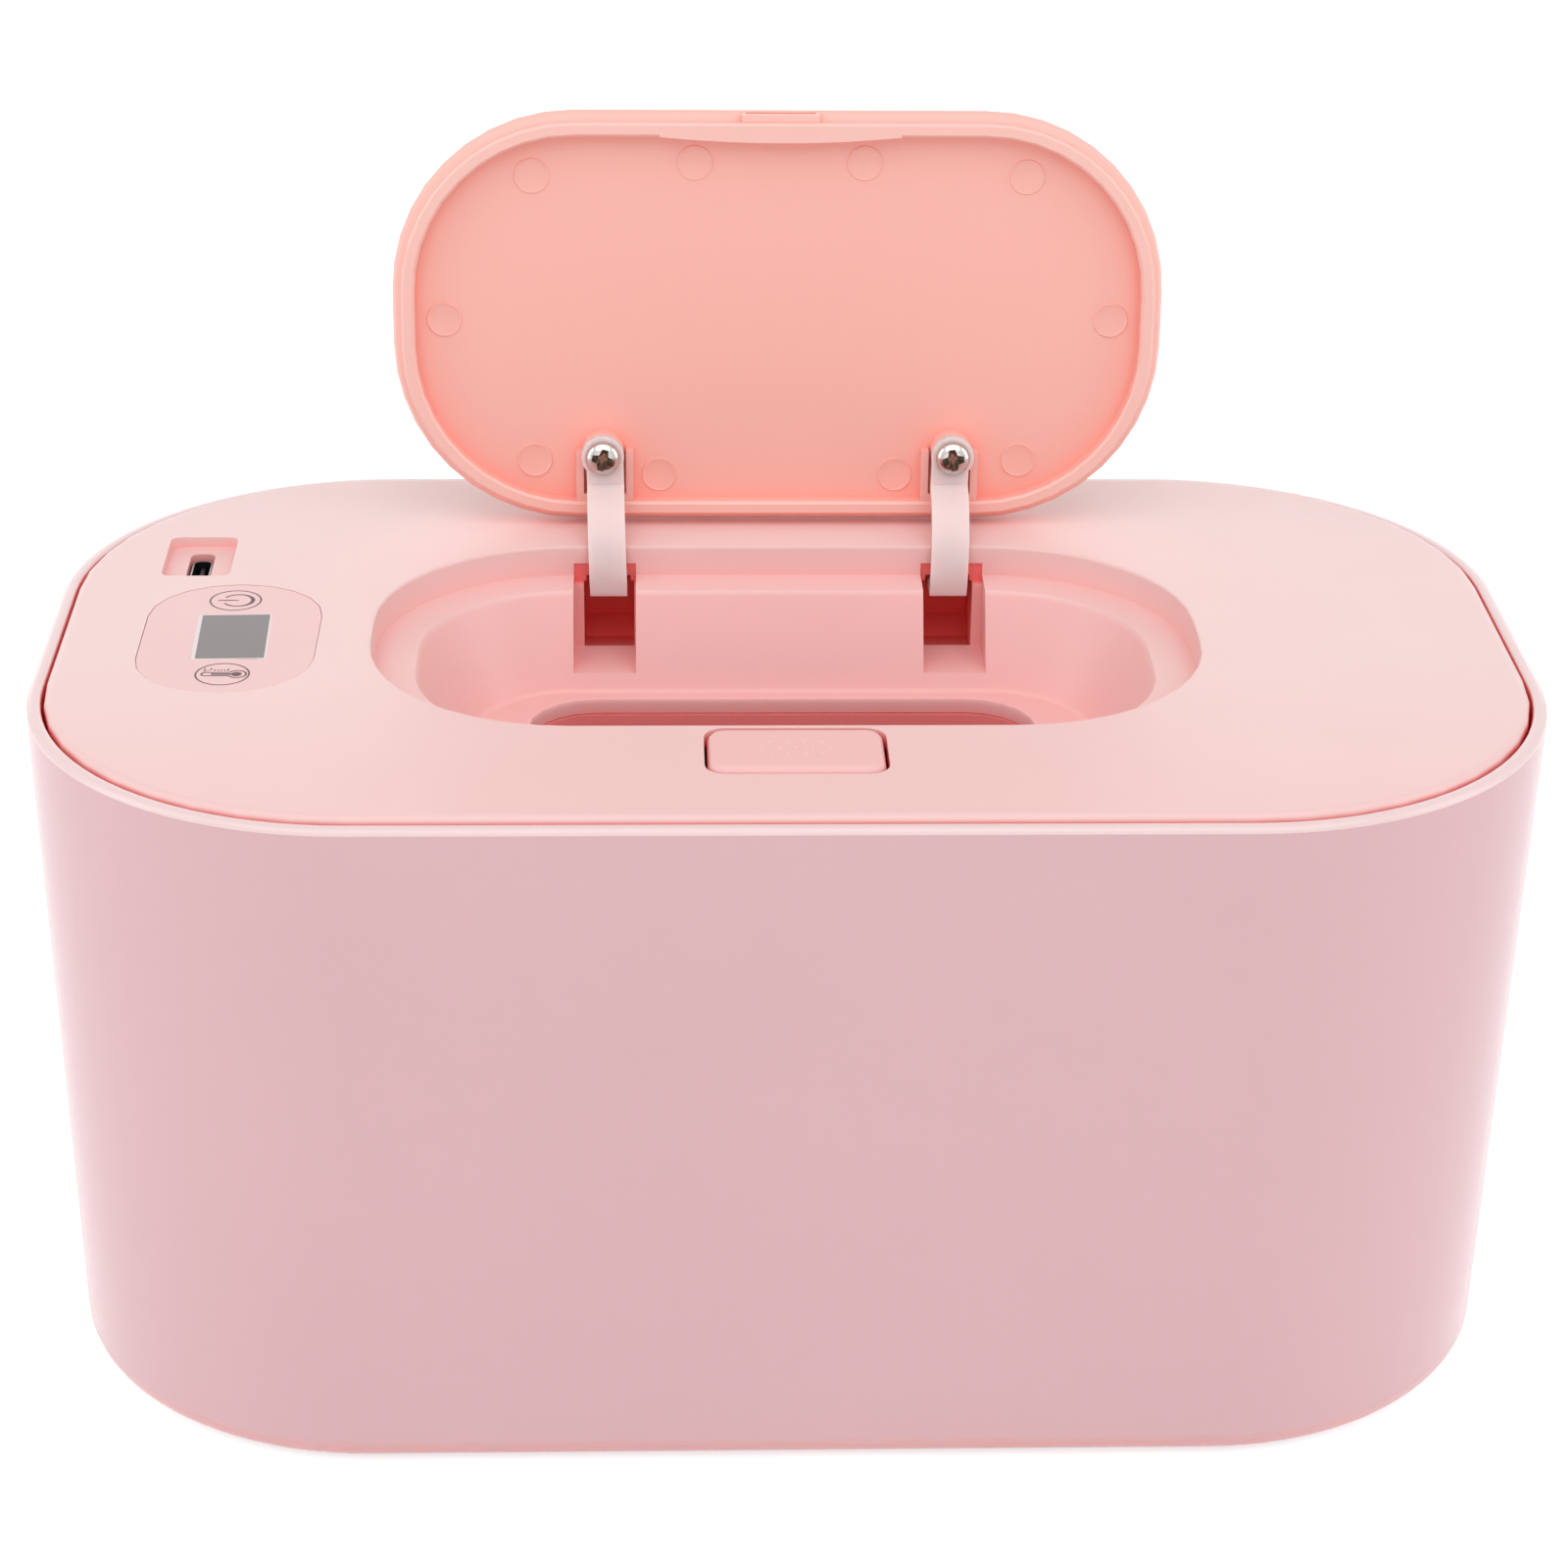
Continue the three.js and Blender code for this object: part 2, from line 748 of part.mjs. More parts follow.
// The space inside one hinge housing: a wide niche in front and a narrower chamber behind,
// with a lintel over the chamber's mouth that hides the pin and is notched for the arm
function hingePocket(side) {
  const front = recessBack - wellFootInset - overrun;
  const back = hingeY + chamberBack;
  const roof = plateTop - pocketRoof;
  const sill = plateTop - pocketSill;
  const low = plateTop - chamberDrop;
  const sillBack = recessBack - pocketSillDepth;
  const lintelFace = recessBack + lintelSetback;
  const lintelBack = lintelFace + lintelThickness;
  const lintelZ = plateTop - lintelDrop;
  const niche = sideProfile([
    [front, roof],
    [front, sill],
    [sillBack, sill],
    [sillBack, lintelZ],
    [lintelFace, lintelZ],
    [lintelFace, roof],
  ], pocketWidth, side * pocketX);
  const chamberFront = sillBack - pocketWall / 2;
  const chamber = sideProfile([
    [chamberFront, lintelZ],
    [chamberFront, sill],
    [sillBack, sill],
    [sillBack, low],
    [back - chamberCorner, low],
    [back, low + chamberCorner],
    [back, roof],
    [lintelBack, roof],
    [lintelBack, lintelZ],
  ], chamberWidth, side * chamberX);
  const notchTop = plateTop - lintelNotchDrop;
  const notch = block(armWidth + 2 * lintelNotchFit, lintelBack - sillBack, notchTop - sill,
    side * barrelX, (sillBack + lintelBack) / 2, sill);
  const pinHole = bar(hingePinRadius + pinFit, chamberWidth + 2 * hingePinGrip,
    side * chamberX, hingeY, hingeZ, boreSides);
  return join(niche, chamber, notch, pinHole);
}

function latchEars() {
  const earX = buttonLegWidth / 2 + buttonRunning + latchEarThickness / 2;
  const low = buttonPivotZ - latchEarHalfDepth;
  const height = plateUnder + plateThickness / 2 - low;
  return [-1, 1].map((side) =>
    block(latchEarThickness, 2 * latchEarHalfDepth, height, side * earX, buttonPivotY, low));
}

function latchPinHole() {
  const reach = buttonLegWidth + 2 * (buttonRunning + latchEarThickness + overrun);
  return bar(latchPinRadius + pinFit, reach, 0, buttonPivotY, buttonPivotZ, boreSides);
}

function buttonOpening() {
  const width = buttonWidth + 2 * buttonSideFit;
  const depth = buttonDepth + buttonSideFit + buttonFrontFit;
  const middleY = buttonY + (buttonSideFit - buttonFrontFit) / 2;
  const corner = buttonCorner + buttonSideFit;
  const hole = outline(width, depth, corner, 0, middleY, smallCornerSteps);
  return slab(hole, plateUnder - overrun, plateTop + overrun);
}

function hookSlot() {
  const low = hookBottom - hookSlotFall;
  const height = hookTop + hookSlotRise - low;
  const backY = recessFront + overrun;
  const depth = wellWall + 2 * overrun;
  return block(hookWidth + 2 * hookSlotFit, depth, height, 0, backY - depth / 2, low);
}

function socketCutters() {
  const floorZ = plateTop - socketPocketDrop;
  const pocket = outline(socketPocketWidth, socketPocketDepth, socketPocketCorner,
    socketX, socketY, smallCornerSteps);
  const slotWidth = socketWidth + 2 * socketSlotFit;
  const slotDepth = socketDepth + 4 * socketSlotFit;
  const slot = outline(slotWidth, slotDepth, socketCorner, socketX, socketY, smallCornerSteps);
  return [
    slab(pocket, floorZ, plateTop + overrun),
    slab(slot, plateUnder - socketFloorThickening - overrun, plateTop),
  ];
}

function socketThickening() {
  const width = socketPocketWidth + 2 * socketFloorThickening;
  const depth = socketPocketDepth + 2 * socketFloorThickening;
  return block(width, depth, socketFloorThickening + plateThickness / 2,
    socketX, socketY, plateUnder - socketFloorThickening);
}

function panelCutters() {
  const window = grown(displayOutline, displayLap + displayWindowFit);
  return [
    slab(panelOutline, plateTop - panelInset, plateTop + overrun),
    slab(window, plateUnder - overrun, plateTop),
  ];
}

function coverBosses() {
  const low = underTop + seatGap;
  return coverBossPlaces.map(([x, y]) => {
    const boss = post(coverBossRadius, low, plateUnder + plateThickness / 2, x, y, headSides);
    const bore = post(coverScrewShank + screwFit, low - overrun, low + coverScrewLength, x, y, pinSides);
    return [boss, bore];
  });
}

function boardBosses() {
  const low = boardTop + seatGap;
  return boardScrewPlaces.map(([x, y]) => {
    const boss = post(boardBossRadius, low, plateUnder + plateThickness / 2, x, y, pinSides);
    const bore = post(boardScrewShank + screwFit, low - overrun, low + boardScrewLength, x, y, pinSides);
    return [boss, bore];
  });
}

function topCover() {
  const plateLevels = [[0, plateUnder], ...roundOver(plateEdgeRadius, plateTop, filletSteps)];
  const plate = levelLoft(plateOutline, plateLevels);
  const skirt = cut(
    slab(skirtOutline, skirtBottom, plateUnder + plateThickness / 2),
    slab(grown(skirtOutline, -skirtWall), skirtBottom - overrun, plateUnder));
  const bosses = [...coverBosses(), ...boardBosses()];
  const body = join(plate, skirt, wellShell(), hingeHousing(-1), hingeHousing(1), ...latchEars(),
    socketThickening(), ...bosses.map(([boss]) => boss));
  return cut(body, wellCutter(), openingCutter(), hingePocket(-1), hingePocket(1), latchPinHole(),
    buttonOpening(), hookSlot(), ...socketCutters(), ...panelCutters(), ...bosses.map(([, bore]) => bore));
}

// Under cover and the heating stack

function bridges() {
  const reachX = windowOutline.width + overrun;
  const reachY = windowOutline.depth + overrun;
  return [
    block(reachX, bridgeWidth, underFloor, 0, recessY, skirtBottom),
    block(bridgeWidth, reachY, underFloor, 0, recessY, skirtBottom),
  ];
}

function underCover() {
  const plate = slab(underOutline, skirtBottom, underTop);
  const window = slab(windowOutline, skirtBottom - overrun, underTop + overrun);
  const collar = slab(collarOutline, skirtBottom - collarLip, wellFloorUnder - seatGap);
  const hub = slab(grown(collarOutline, windowMargin), skirtBottom, underTop);
  const springPost = post(latchPostRadius, underTop - underFloor / 2, plateTop - latchPostTopDrop,
    0, buttonPivotY - latchSpringForward, headSides);
  const body = join(cut(plate, window), ...bridges(), hub, collar, springPost);
  const passageLow = skirtBottom - collarLip - overrun;
  const passage = slab(grown(openingOutline, -collarInset), passageLow, plateTop);
  const holes = coverBossPlaces.flatMap(([x, y]) => [
    post(coverScrewShank + looseFit, skirtBottom - overrun, underTop + overrun, x, y, pinSides),
    post(coverScrewHead + looseFit, skirtBottom - overrun, skirtBottom + counterboreDepth, x, y, headSides),
  ]);
  return cut(body, passage, ...holes);
}

function heaterPlate() {
  const outer = slab(grown(windowOutline, heaterLap), heaterBottom, heaterBottom + heaterThickness);
  const hole = slab(grown(collarOutline, looseFit), heaterBottom - overrun, heaterBottom + overrun);
  return cut(outer, hole);
}

function heatingFilm() {
  const outer = slab(grown(windowOutline, -filmSetback), filmBottom, filmBottom + filmThickness);
  const hole = slab(grown(collarOutline, filmHoleMargin), filmBottom - overrun, filmBottom + overrun);
  return cut(outer, hole);
}

function insulationRing() {
  const top = wellFloorUnder - seatGap;
  const outer = slab(grown(windowOutline, -insulationSetback), insulationBottom, top);
  const hole = slab(grown(collarOutline, looseFit), insulationBottom - overrun, top + overrun);
  return cut(outer, hole);
}

// Control electronics

function controlBoard() {
  const shape = new THREE.Shape([
    new THREE.Vector2(boardLeft + boardChamfer / 2, boardFront),
    new THREE.Vector2(boardRight, boardFront),
    new THREE.Vector2(boardRight, boardBack),
    new THREE.Vector2(boardLeft + boardChamfer, boardBack),
    new THREE.Vector2(boardLeft, boardBack - boardChamfer),
    new THREE.Vector2(boardLeft, boardFront + boardChamfer / 2),
  ]);
  const geometry = new THREE.ExtrudeGeometry(shape, { depth: boardThickness, bevelEnabled: false });
  const board = toSolid(geometry.translate(0, 0, boardTop - boardThickness));
  const under = boardTop - boardThickness;
  const middleX = (boardLeft + boardRight) / 2;
  const rooted = boardThickness / 2;
  const chip = block(chipSize, chipSize, chipHeight + rooted, middleX, panelY, under - chipHeight);
  const coilY = panelY + 2 * chipSize;
  const coil = block(coilSize, coilSize, coilHeight + rooted, middleX, coilY, under - coilHeight);
  const holes = boardScrewPlaces.map(([x, y]) =>
    post(boardScrewShank + looseFit / 2, under - overrun, boardTop + overrun, x, y, pinSides));
  return cut(join(board, chip, coil), ...holes);
}

function displayGlass() {
  const top = plateTop - panelInset - panelBed;
  return slab(grown(displayOutline, displayLap), plateUnder, top);
}

function displayBody() {
  const body = grown(displayOutline, displayBodyMargin);
  return slab(body, boardTop + seatGap, plateUnder - seatGap);
}

function panelLabel() {
  const low = plateTop - panelInset + panelBed;
  const sheet = slab(grown(panelOutline, -panelFit), low, low + panelSheet);
  return cut(sheet, slab(displayOutline, low - overrun, low + overrun));
}

function powerSocket() {
  const top = plateTop - socketPocketDrop - socketSetback;
  const shell = outline(socketWidth, socketDepth, socketCorner, socketX, socketY, smallCornerSteps);
  const mouthFloor = top - socketMouth;
  const body = slab(shell, boardTop + seatGap, top);
  const mouth = slab(grown(shell, -socketShell), mouthFloor, top + overrun);
  const tongue = block(tongueWidth, tongueDepth, tongueHeight + socketShell,
    socketX, socketY, mouthFloor - socketShell);
  return join(cut(body, mouth), tongue);
}

function lead(points, radius) {
  const leadSides = 8;
  const stepsPerSpan = 3;
  const path = new THREE.CatmullRomCurve3(points);
  return toSolid(tube(path, radius, leadSides, (points.length - 1) * stepsPerSpan));
}

// A lead from the board's underside down to the heating film's edge
function heaterLead(y) {
  const startX = boardRight - boardScrewMargin;
  const endX = -windowWidth / 2 + insulationSetback / 2;
  const startZ = boardTop - boardThickness - seatGap;
  const endZ = filmBottom + filmThickness + seatGap;
  return lead([
    new THREE.Vector3(startX, y, startZ),
    new THREE.Vector3(startX, y, startZ - 3 * leadRadius),
    new THREE.Vector3((startX + endX) / 2, y, (startZ + endZ) / 2),
    new THREE.Vector3(endX, y, endZ + 3 * leadRadius),
    new THREE.Vector3(endX, y, endZ),
  ], leadRadius);
}

function sensorPlace() {
  const x = -windowWidth / 2 - heaterLap / 2;
  const z = heaterBottom + heaterThickness + seatGap + sensorRadius;
  return [x, recessY + sensorY, z];
}

function thermalSensor() {
  const [x, y, z] = sensorPlace();
  const tipShare = 0.55;
  const half = sensorLength / 2;
  const profile = [
    [0, -half],
    [sensorRadius * tipShare, -half],
    [sensorRadius, -half * tipShare],
    [sensorRadius, half * tipShare],
    [sensorRadius * tipShare, half],
    [0, half],
  ];
  const geometry = turned(profile, pinSides).rotateX(Math.PI / 2);
  return toSolid(geometry.translate(x, y, z));
}

function sensorLead() {
  const [x, y, z] = sensorPlace();
  const startX = boardRight - boardScrewMargin;
  const startZ = boardTop - boardThickness - seatGap;
  const endY = y + sensorLength / 2 + seatGap;
  return lead([
    new THREE.Vector3(startX, endY + sensorLength, startZ),
    new THREE.Vector3(startX, endY + sensorLength, startZ - 3 * leadRadius),
    new THREE.Vector3((startX + x) / 2, endY + sensorLength, (startZ + z) / 2),
    new THREE.Vector3(x, endY + sensorLength / 2, z + leadRadius),
    new THREE.Vector3(x, endY, z),
  ], leadRadius);
}

// Latch button

function latchButton() {
  const padLow = plateTop - buttonBelow;
  const padLevels = [[0, padLow], ...roundOver(buttonEdgeRadius, plateTop + buttonProud, filletSteps)];
  const pad = levelLoft(padOutline, padLevels);
  const legBack = buttonPivotY + buttonLegThickness / 2;
  const legFront = legBack - buttonLegThickness;
  const leg = block(buttonLegWidth, legBack - legFront, padLow - buttonPivotZ + buttonBelow / 2,
    0, (legBack + legFront) / 2, buttonPivotZ);
  const noseTip = lidFront + catchSetback + hookBite;
  const noseShare = 0.4;
  const hook = sideProfile([
    [legFront, hookTop],
    [legFront, hookBottom],
    [noseTip, hookBottom],
    [noseTip, hookBottom + hookThickness * noseShare],
    [noseTip - hookThickness * (1 - noseShare), hookTop],
  ], hookWidth, 0);
  const barrel = bar(buttonBarrelRadius, buttonLegWidth, 0, buttonPivotY, buttonPivotZ, headSides);
  const boreLength = buttonLegWidth + overrun;
  const bore = bar(latchPinRadius + pinFit, boreLength, 0, buttonPivotY, buttonPivotZ, boreSides);
  return cut(join(pad, leg, hook, barrel), bore);
}

// Lid, drawn shut

function lidCatch() {
  const front = lidFront + catchSetback;
  const depth = lidRingInset + lidRingWidth / 2 - catchSetback;
  const height = lidUnder - catchBottom + lidThickness / 2;
  const body = block(catchWidth, depth, height, 0, front + depth / 2, catchBottom);
  const pocketLow = catchBottom + catchBar;
  const pocketHigh = hookTop + catchPocketRise;
  const pocket = block(catchWidth - 2 * catchSide, catchPocketDepth + overrun, pocketHigh - pocketLow,
    0, lidFront + (catchPocketDepth - overrun) / 2, pocketLow);
  return [body, pocket];
}

// A shallow lens that thickens the ring inwards at the middle of the lid's front
function ringBulge() {
  const inner = lidFront + lidRingInset + lidRingWidth;
  const half = ringBulgeLength / 2;
  const points = [new THREE.Vector2(half, inner - lidRingWidth / 2), new THREE.Vector2(half, inner)];
  const steps = smallCornerSteps * 2;
  for (let step = 1; step < steps; step += 1) {
    const along = 1 - 2 * step / steps;
    points.push(new THREE.Vector2(half * along, inner + ringBulgeDepth * (1 - along * along)));
  }
  points.push(new THREE.Vector2(-half, inner), new THREE.Vector2(-half, inner - lidRingWidth / 2));
  const height = lidUnder - lidRingBottom + lidThickness / 2;
  const geometry = new THREE.ExtrudeGeometry(new THREE.Shape(points), { depth: height, bevelEnabled: false });
  return toSolid(geometry.translate(0, 0, lidRingBottom));
}

// Two ribs beside the arm and a third across their ends, which locate the arm on the lid
function guideRibs(x) {
  const back = lidBack - lidRingInset - lidRingWidth;
  const low = lidUnder - guideRibHeight;
  const height = guideRibHeight + lidThickness / 2;
  const rooted = lidRingWidth / 2;
  const sideRibs = [-1, 1].map((edge) => block(guideRibWidth, guideRibLength + rooted, height,
    x + edge * (guideRibSpread - guideRibWidth) / 2, back + (rooted - guideRibLength) / 2, low));
  const endY = back + (rooted - guideRibWidth) / 2;
  const endRib = block(guideRibSpread, guideRibWidth + rooted, height, x, endY, low);
  return [...sideRibs, endRib];
}

function lidBody() {
  const plate = levelLoft(lidOutline, [
    ...roundUnder(lidInnerEdge, lidRimBottom, filletSteps - 1),
    ...roundOver(lidEdgeRadius, lidTop, filletSteps),
  ]);
  const rootZ = lidUnder + lidThickness / 2;
  const ringSolid = levelLoft(lidRingOutline, [
    [lidRingEdge, lidRingBottom],
    [0, lidRingBottom + lidRingEdge],
    [0, rootZ],
  ]);
  const field = levelLoft(grown(lidRingOutline, -lidRingWidth), [
    [-lidRingEdge, lidRingBottom - overrun],
    [-lidRingEdge, lidRingBottom],
    [0, lidRingBottom + lidRingEdge],
    [0, lidUnder],
  ]);
  const [catchBlock, catchPocket] = lidCatch();
  const armParts = [-1, 1].flatMap((side) => [
    post(lidBossRadius, lidUnder - lidBossHeight, rootZ, side * armX, armScrewY, headSides),
    ...guideRibs(side * pocketX),
  ]);
  const bores = [-1, 1].map((side) => post(armScrewShank + screwFit, lidUnder - lidBossHeight - overrun,
    lidTop - lidBossSkin, side * armX, armScrewY, pinSides));
  const tray = cut(join(plate, ringSolid, catchBlock), field);
  return cut(join(tray, ringBulge(), ...armParts), catchPocket, ...bores);
}

// A gooseneck arm: a flat head under the lid's boss, a strip that curves below the pocket's lip,
// and an upright that ends in the barrel on the hinge pin
function hingeArm(side) {
  const x = side * armX;
  const centreY = hingeY - armArcForward;
  const centreZ = hingeZ + armArcLift;
  const innerRadius = armArcRadius - armThickness;
  const outerStart = Math.PI + Math.asin((centreZ - armHeadFace) / armArcRadius);
  const innerStart = Math.PI + Math.asin((centreZ - armHeadTop) / innerRadius);
  const backY = hingeY + armBackFromPin;
  const outerEnd = Math.PI * 1.5 + Math.asin((backY - centreY) / armArcRadius);
  const innerEnd = Math.PI * 1.5 + Math.asin((backY - armThickness - centreY) / innerRadius);
  const outer = arcPoints(centreY, centreZ, armArcRadius, outerStart, outerEnd, cornerSteps);
  const inner = arcPoints(centreY, centreZ, innerRadius, innerEnd, innerStart, cornerSteps);
  const straight = sideProfile([
    [armScrewY, armHeadFace],
    ...outer,
    [backY, hingeZ],
    [backY - armThickness, hingeZ],
    ...inner,
    [armScrewY, armHeadTop],
  ], armWidth, side * pocketX);
  const strip = straight.warp((point) => {
    point[0] -= side * armLean * (point[1] - armScrewY) / (hingeY - armScrewY);
  });
  const head = post(armHeadRadius, armHeadFace, armHeadTop, x, armScrewY, boreSides);
  const barrel = bar(armBarrelRadius, armWidth, side * barrelX, hingeY, hingeZ, boreSides);
  const keyTop = lidUnder - seatGap;
  const keyY = armScrewY + lidBossRadius + seatGap + armKeyLength / 2;
  const key = block(armKeyWidth, armKeyLength, keyTop - armHeadFace - armThickness / 2,
    side * pocketX, keyY, armHeadFace + armThickness / 2);
  const screwHole = post(armScrewShank + looseFit / 2, armHeadFace - overrun, armHeadTop + overrun,
    x, armScrewY, pinSides);
  const pinHole = bar(hingePinRadius + pinFit, armWidth + overrun, side * barrelX, hingeY, hingeZ, boreSides);
  return cut(join(strip, head, barrel, key), screwHole, pinHole);
}

function hingePin(side) {
  const length = chamberWidth + 2 * hingePinGrip - 2 * seatGap;
  return bar(hingePinRadius, length, side * chamberX, hingeY, hingeZ, pinSides);
}

function latchPin() {
  const length = buttonLegWidth + 2 * (buttonRunning + latchEarThickness);
  return bar(latchPinRadius, length, 0, buttonPivotY, buttonPivotZ, pinSides);
}

// Colours and finishes of the pieces

const shellPink = plastic('#e6bcc2', 0.28);
const coverPink = plastic('#f4d2cf', 0.45);
const lidPink = plastic('#f7b6ab', 0.4);
const innerPink = plastic('#f0c4c4', 0.5);
const armPlastic = plastic('#f0dcda', 0.4);
const panelPink = plastic('#f3cfce', 0.35);
const displayGrey = plastic('#8f8b89', 0.2);
const displayWhite = plastic('#e9e9e4', 0.5);
const rubber = plastic('#d9d2d0', 0.9);
const boardGreen = plastic('#2f6b4a', 0.5);
const filmAmber = plastic('#c08a3e', 0.35);
const insulationGrey = plastic('#cfccc6', 0.95);
const sensorBlack = plastic('#26262a', 0.5);
const leadRed = plastic('#b3262a', 0.5);
const leadBlack = plastic('#222226', 0.5);
const leadWhite = plastic('#e8e6e0', 0.5);
const steel = metal('#c9c7c4', 0.25);
const aluminium = metal('#cfd1d3', 0.4);

// Assembly

const warmer = new THREE.Group();
warmer.name = 'baby_wipe_warmer';

warmer.add(toMesh('outer_shell', outerShell(), shellPink));
const footNames = ['front_left', 'front_right', 'rear_right', 'rear_left'];
footPlaces.forEach(([x, y], i) => warmer.add(toMesh(`foot_${footNames[i]}`, foot(x, y), rubber)));

const cover = new THREE.Group();
cover.add(toMesh('top_cover', topCover(), coverPink));
cover.add(toMesh('under_cover', underCover(), innerPink));
cover.add(toMesh('heater_plate', heaterPlate(), aluminium));
cover.add(toMesh('heating_film', heatingFilm(), filmAmber));
cover.add(toMesh('insulation_ring', insulationRing(), insulationGrey));
cover.add(toMesh('control_board', controlBoard(), boardGreen));
cover.add(toMesh('display_glass', displayGlass(), displayGrey));
cover.add(toMesh('display_body', displayBody(), displayWhite));
cover.add(toMesh('panel_label', panelLabel(), panelPink));
cover.add(toMesh('power_socket', powerSocket(), steel));
const touchSprings = [['touch_spring_power', 1], ['touch_spring_heat', -1]];
touchSprings.forEach(([name, sign]) => cover.add(toMesh(name,
  coilSpring(touchSpringRadius, touchSpringWire, touchSpringTurns, boardTop + seatGap, plateUnder - seatGap,
    panelX, panelY + sign * touchSpringOffset), steel)));
cover.add(toMesh('thermal_sensor', thermalSensor(), sensorBlack));
cover.add(toMesh('sensor_lead', sensorLead(), leadWhite));
cover.add(toMesh('heater_lead_red', heaterLead(panelY - leadSpacing / 2), leadRed));
cover.add(toMesh('heater_lead_black', heaterLead(panelY - leadSpacing * 3 / 2), leadBlack));
coverBossPlaces.forEach(([x, y], i) => cover.add(toMesh(`cover_screw_${i + 1}`,
  panScrew(coverScrewShank, coverScrewHead, coverScrewHeadHeight, coverScrewLength - 2 * seatGap,
    x, y, skirtBottom + counterboreDepth - seatGap), steel)));
boardScrewPlaces.forEach(([x, y], i) => cover.add(toMesh(`board_screw_${i + 1}`,
  panScrew(boardScrewShank, boardScrewHead, boardScrewHeadHeight, boardScrewLength,
    x, y, boardTop - boardThickness - seatGap), steel)));
cover.add(toMesh('hinge_pin_left', hingePin(-1), steel));
cover.add(toMesh('hinge_pin_right', hingePin(1), steel));
cover.add(toMesh('latch_pin', latchPin(), steel));
cover.add(toMesh('latch_spring', coilSpring(latchSpringRadius, latchSpringWire, latchSpringTurns,
  plateTop - latchPostTopDrop + seatGap, plateTop - buttonBelow - seatGap,
  0, buttonPivotY - latchSpringForward), steel));
warmer.add(cover);

warmer.add(toMesh('latch_button', latchButton(), coverPink));

const lidHinge = new THREE.Group();
lidHinge.position.set(0, hingeY, hingeZ);
lidHinge.rotation.x = -THREE.MathUtils.degToRad(lidOpenAngle);
const lidParts = new THREE.Group();
lidParts.position.set(0, -hingeY, -hingeZ);
lidParts.add(toMesh('lid', lidBody(), lidPink));
const sides = [['left', -1], ['right', 1]];
sides.forEach(([name, side]) => {
  lidParts.add(toMesh(`hinge_arm_${name}`, hingeArm(side), armPlastic));
  lidParts.add(toMesh(`arm_screw_${name}`, panScrew(armScrewShank, armScrewHead, armScrewHeadHeight,
    armScrewLength, side * armX, armScrewY, armHeadFace - seatGap), steel));
});
lidHinge.add(lidParts);
warmer.add(lidHinge);

export default warmer;
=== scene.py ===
import math
import bpy
import bmesh
from mathutils import Matrix, Vector


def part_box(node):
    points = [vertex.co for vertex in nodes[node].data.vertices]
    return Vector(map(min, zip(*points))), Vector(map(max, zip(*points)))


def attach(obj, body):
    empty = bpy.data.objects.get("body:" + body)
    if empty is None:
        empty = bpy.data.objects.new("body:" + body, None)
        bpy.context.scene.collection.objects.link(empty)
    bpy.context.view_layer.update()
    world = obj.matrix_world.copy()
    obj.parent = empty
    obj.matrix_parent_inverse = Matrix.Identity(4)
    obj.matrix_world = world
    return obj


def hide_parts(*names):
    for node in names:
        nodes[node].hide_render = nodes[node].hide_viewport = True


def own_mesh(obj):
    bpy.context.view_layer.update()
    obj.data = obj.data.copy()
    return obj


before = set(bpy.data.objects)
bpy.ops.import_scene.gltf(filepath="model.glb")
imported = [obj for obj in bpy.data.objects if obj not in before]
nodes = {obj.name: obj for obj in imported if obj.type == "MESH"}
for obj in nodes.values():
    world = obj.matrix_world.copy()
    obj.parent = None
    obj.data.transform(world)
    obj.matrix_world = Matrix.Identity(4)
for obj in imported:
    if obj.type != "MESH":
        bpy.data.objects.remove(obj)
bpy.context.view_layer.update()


# The picture: a long lens looks down at the warmer from in front, from just left of its middle,
# and holds the whole of it with a little white all round.
camera_place = Vector((-0.0219, -0.5557, 0.3461))
camera_right = Vector((0.99936, -0.03335, 0.01291))
camera_up = Vector((0.00258, 0.42711, 0.90419))
camera_back = camera_right.cross(camera_up)
camera_data = bpy.data.cameras.new("product_camera")
camera_data.sensor_width = 36
camera_data.lens = 88.67
camera_data.clip_start = 0.01
camera = bpy.data.objects.new("product_camera", camera_data)
camera.matrix_world = Matrix((
    (camera_right.x, camera_up.x, camera_back.x, camera_place.x),
    (camera_right.y, camera_up.y, camera_back.y, camera_place.y),
    (camera_right.z, camera_up.z, camera_back.z, camera_place.z),
    (0, 0, 0, 1),
))
bpy.context.scene.collection.objects.link(camera)
bpy.context.scene.camera = camera
bpy.context.scene.view_settings.view_transform = "Standard"


# The studio: a pale sheet of paper in a white surround. One large soft light hangs overhead, long
# fills stand low in front and behind, and two tall soft boxes run down the rounded ends.
def background_rays(new, link):
    """One where a ray only looks at the background: from the camera, in a reflection or through glass."""
    rays = new("ShaderNodeLightPath")
    first = new("ShaderNodeMath")
    first.operation = "MAXIMUM"
    both = new("ShaderNodeMath")
    both.operation = "MAXIMUM"
    link(rays.outputs["Is Camera Ray"], first.inputs[0])
    link(rays.outputs["Is Glossy Ray"], first.inputs[1])
    link(first.outputs[0], both.inputs[0])
    link(rays.outputs["Is Transmission Ray"], both.inputs[1])
    return both.outputs[0]


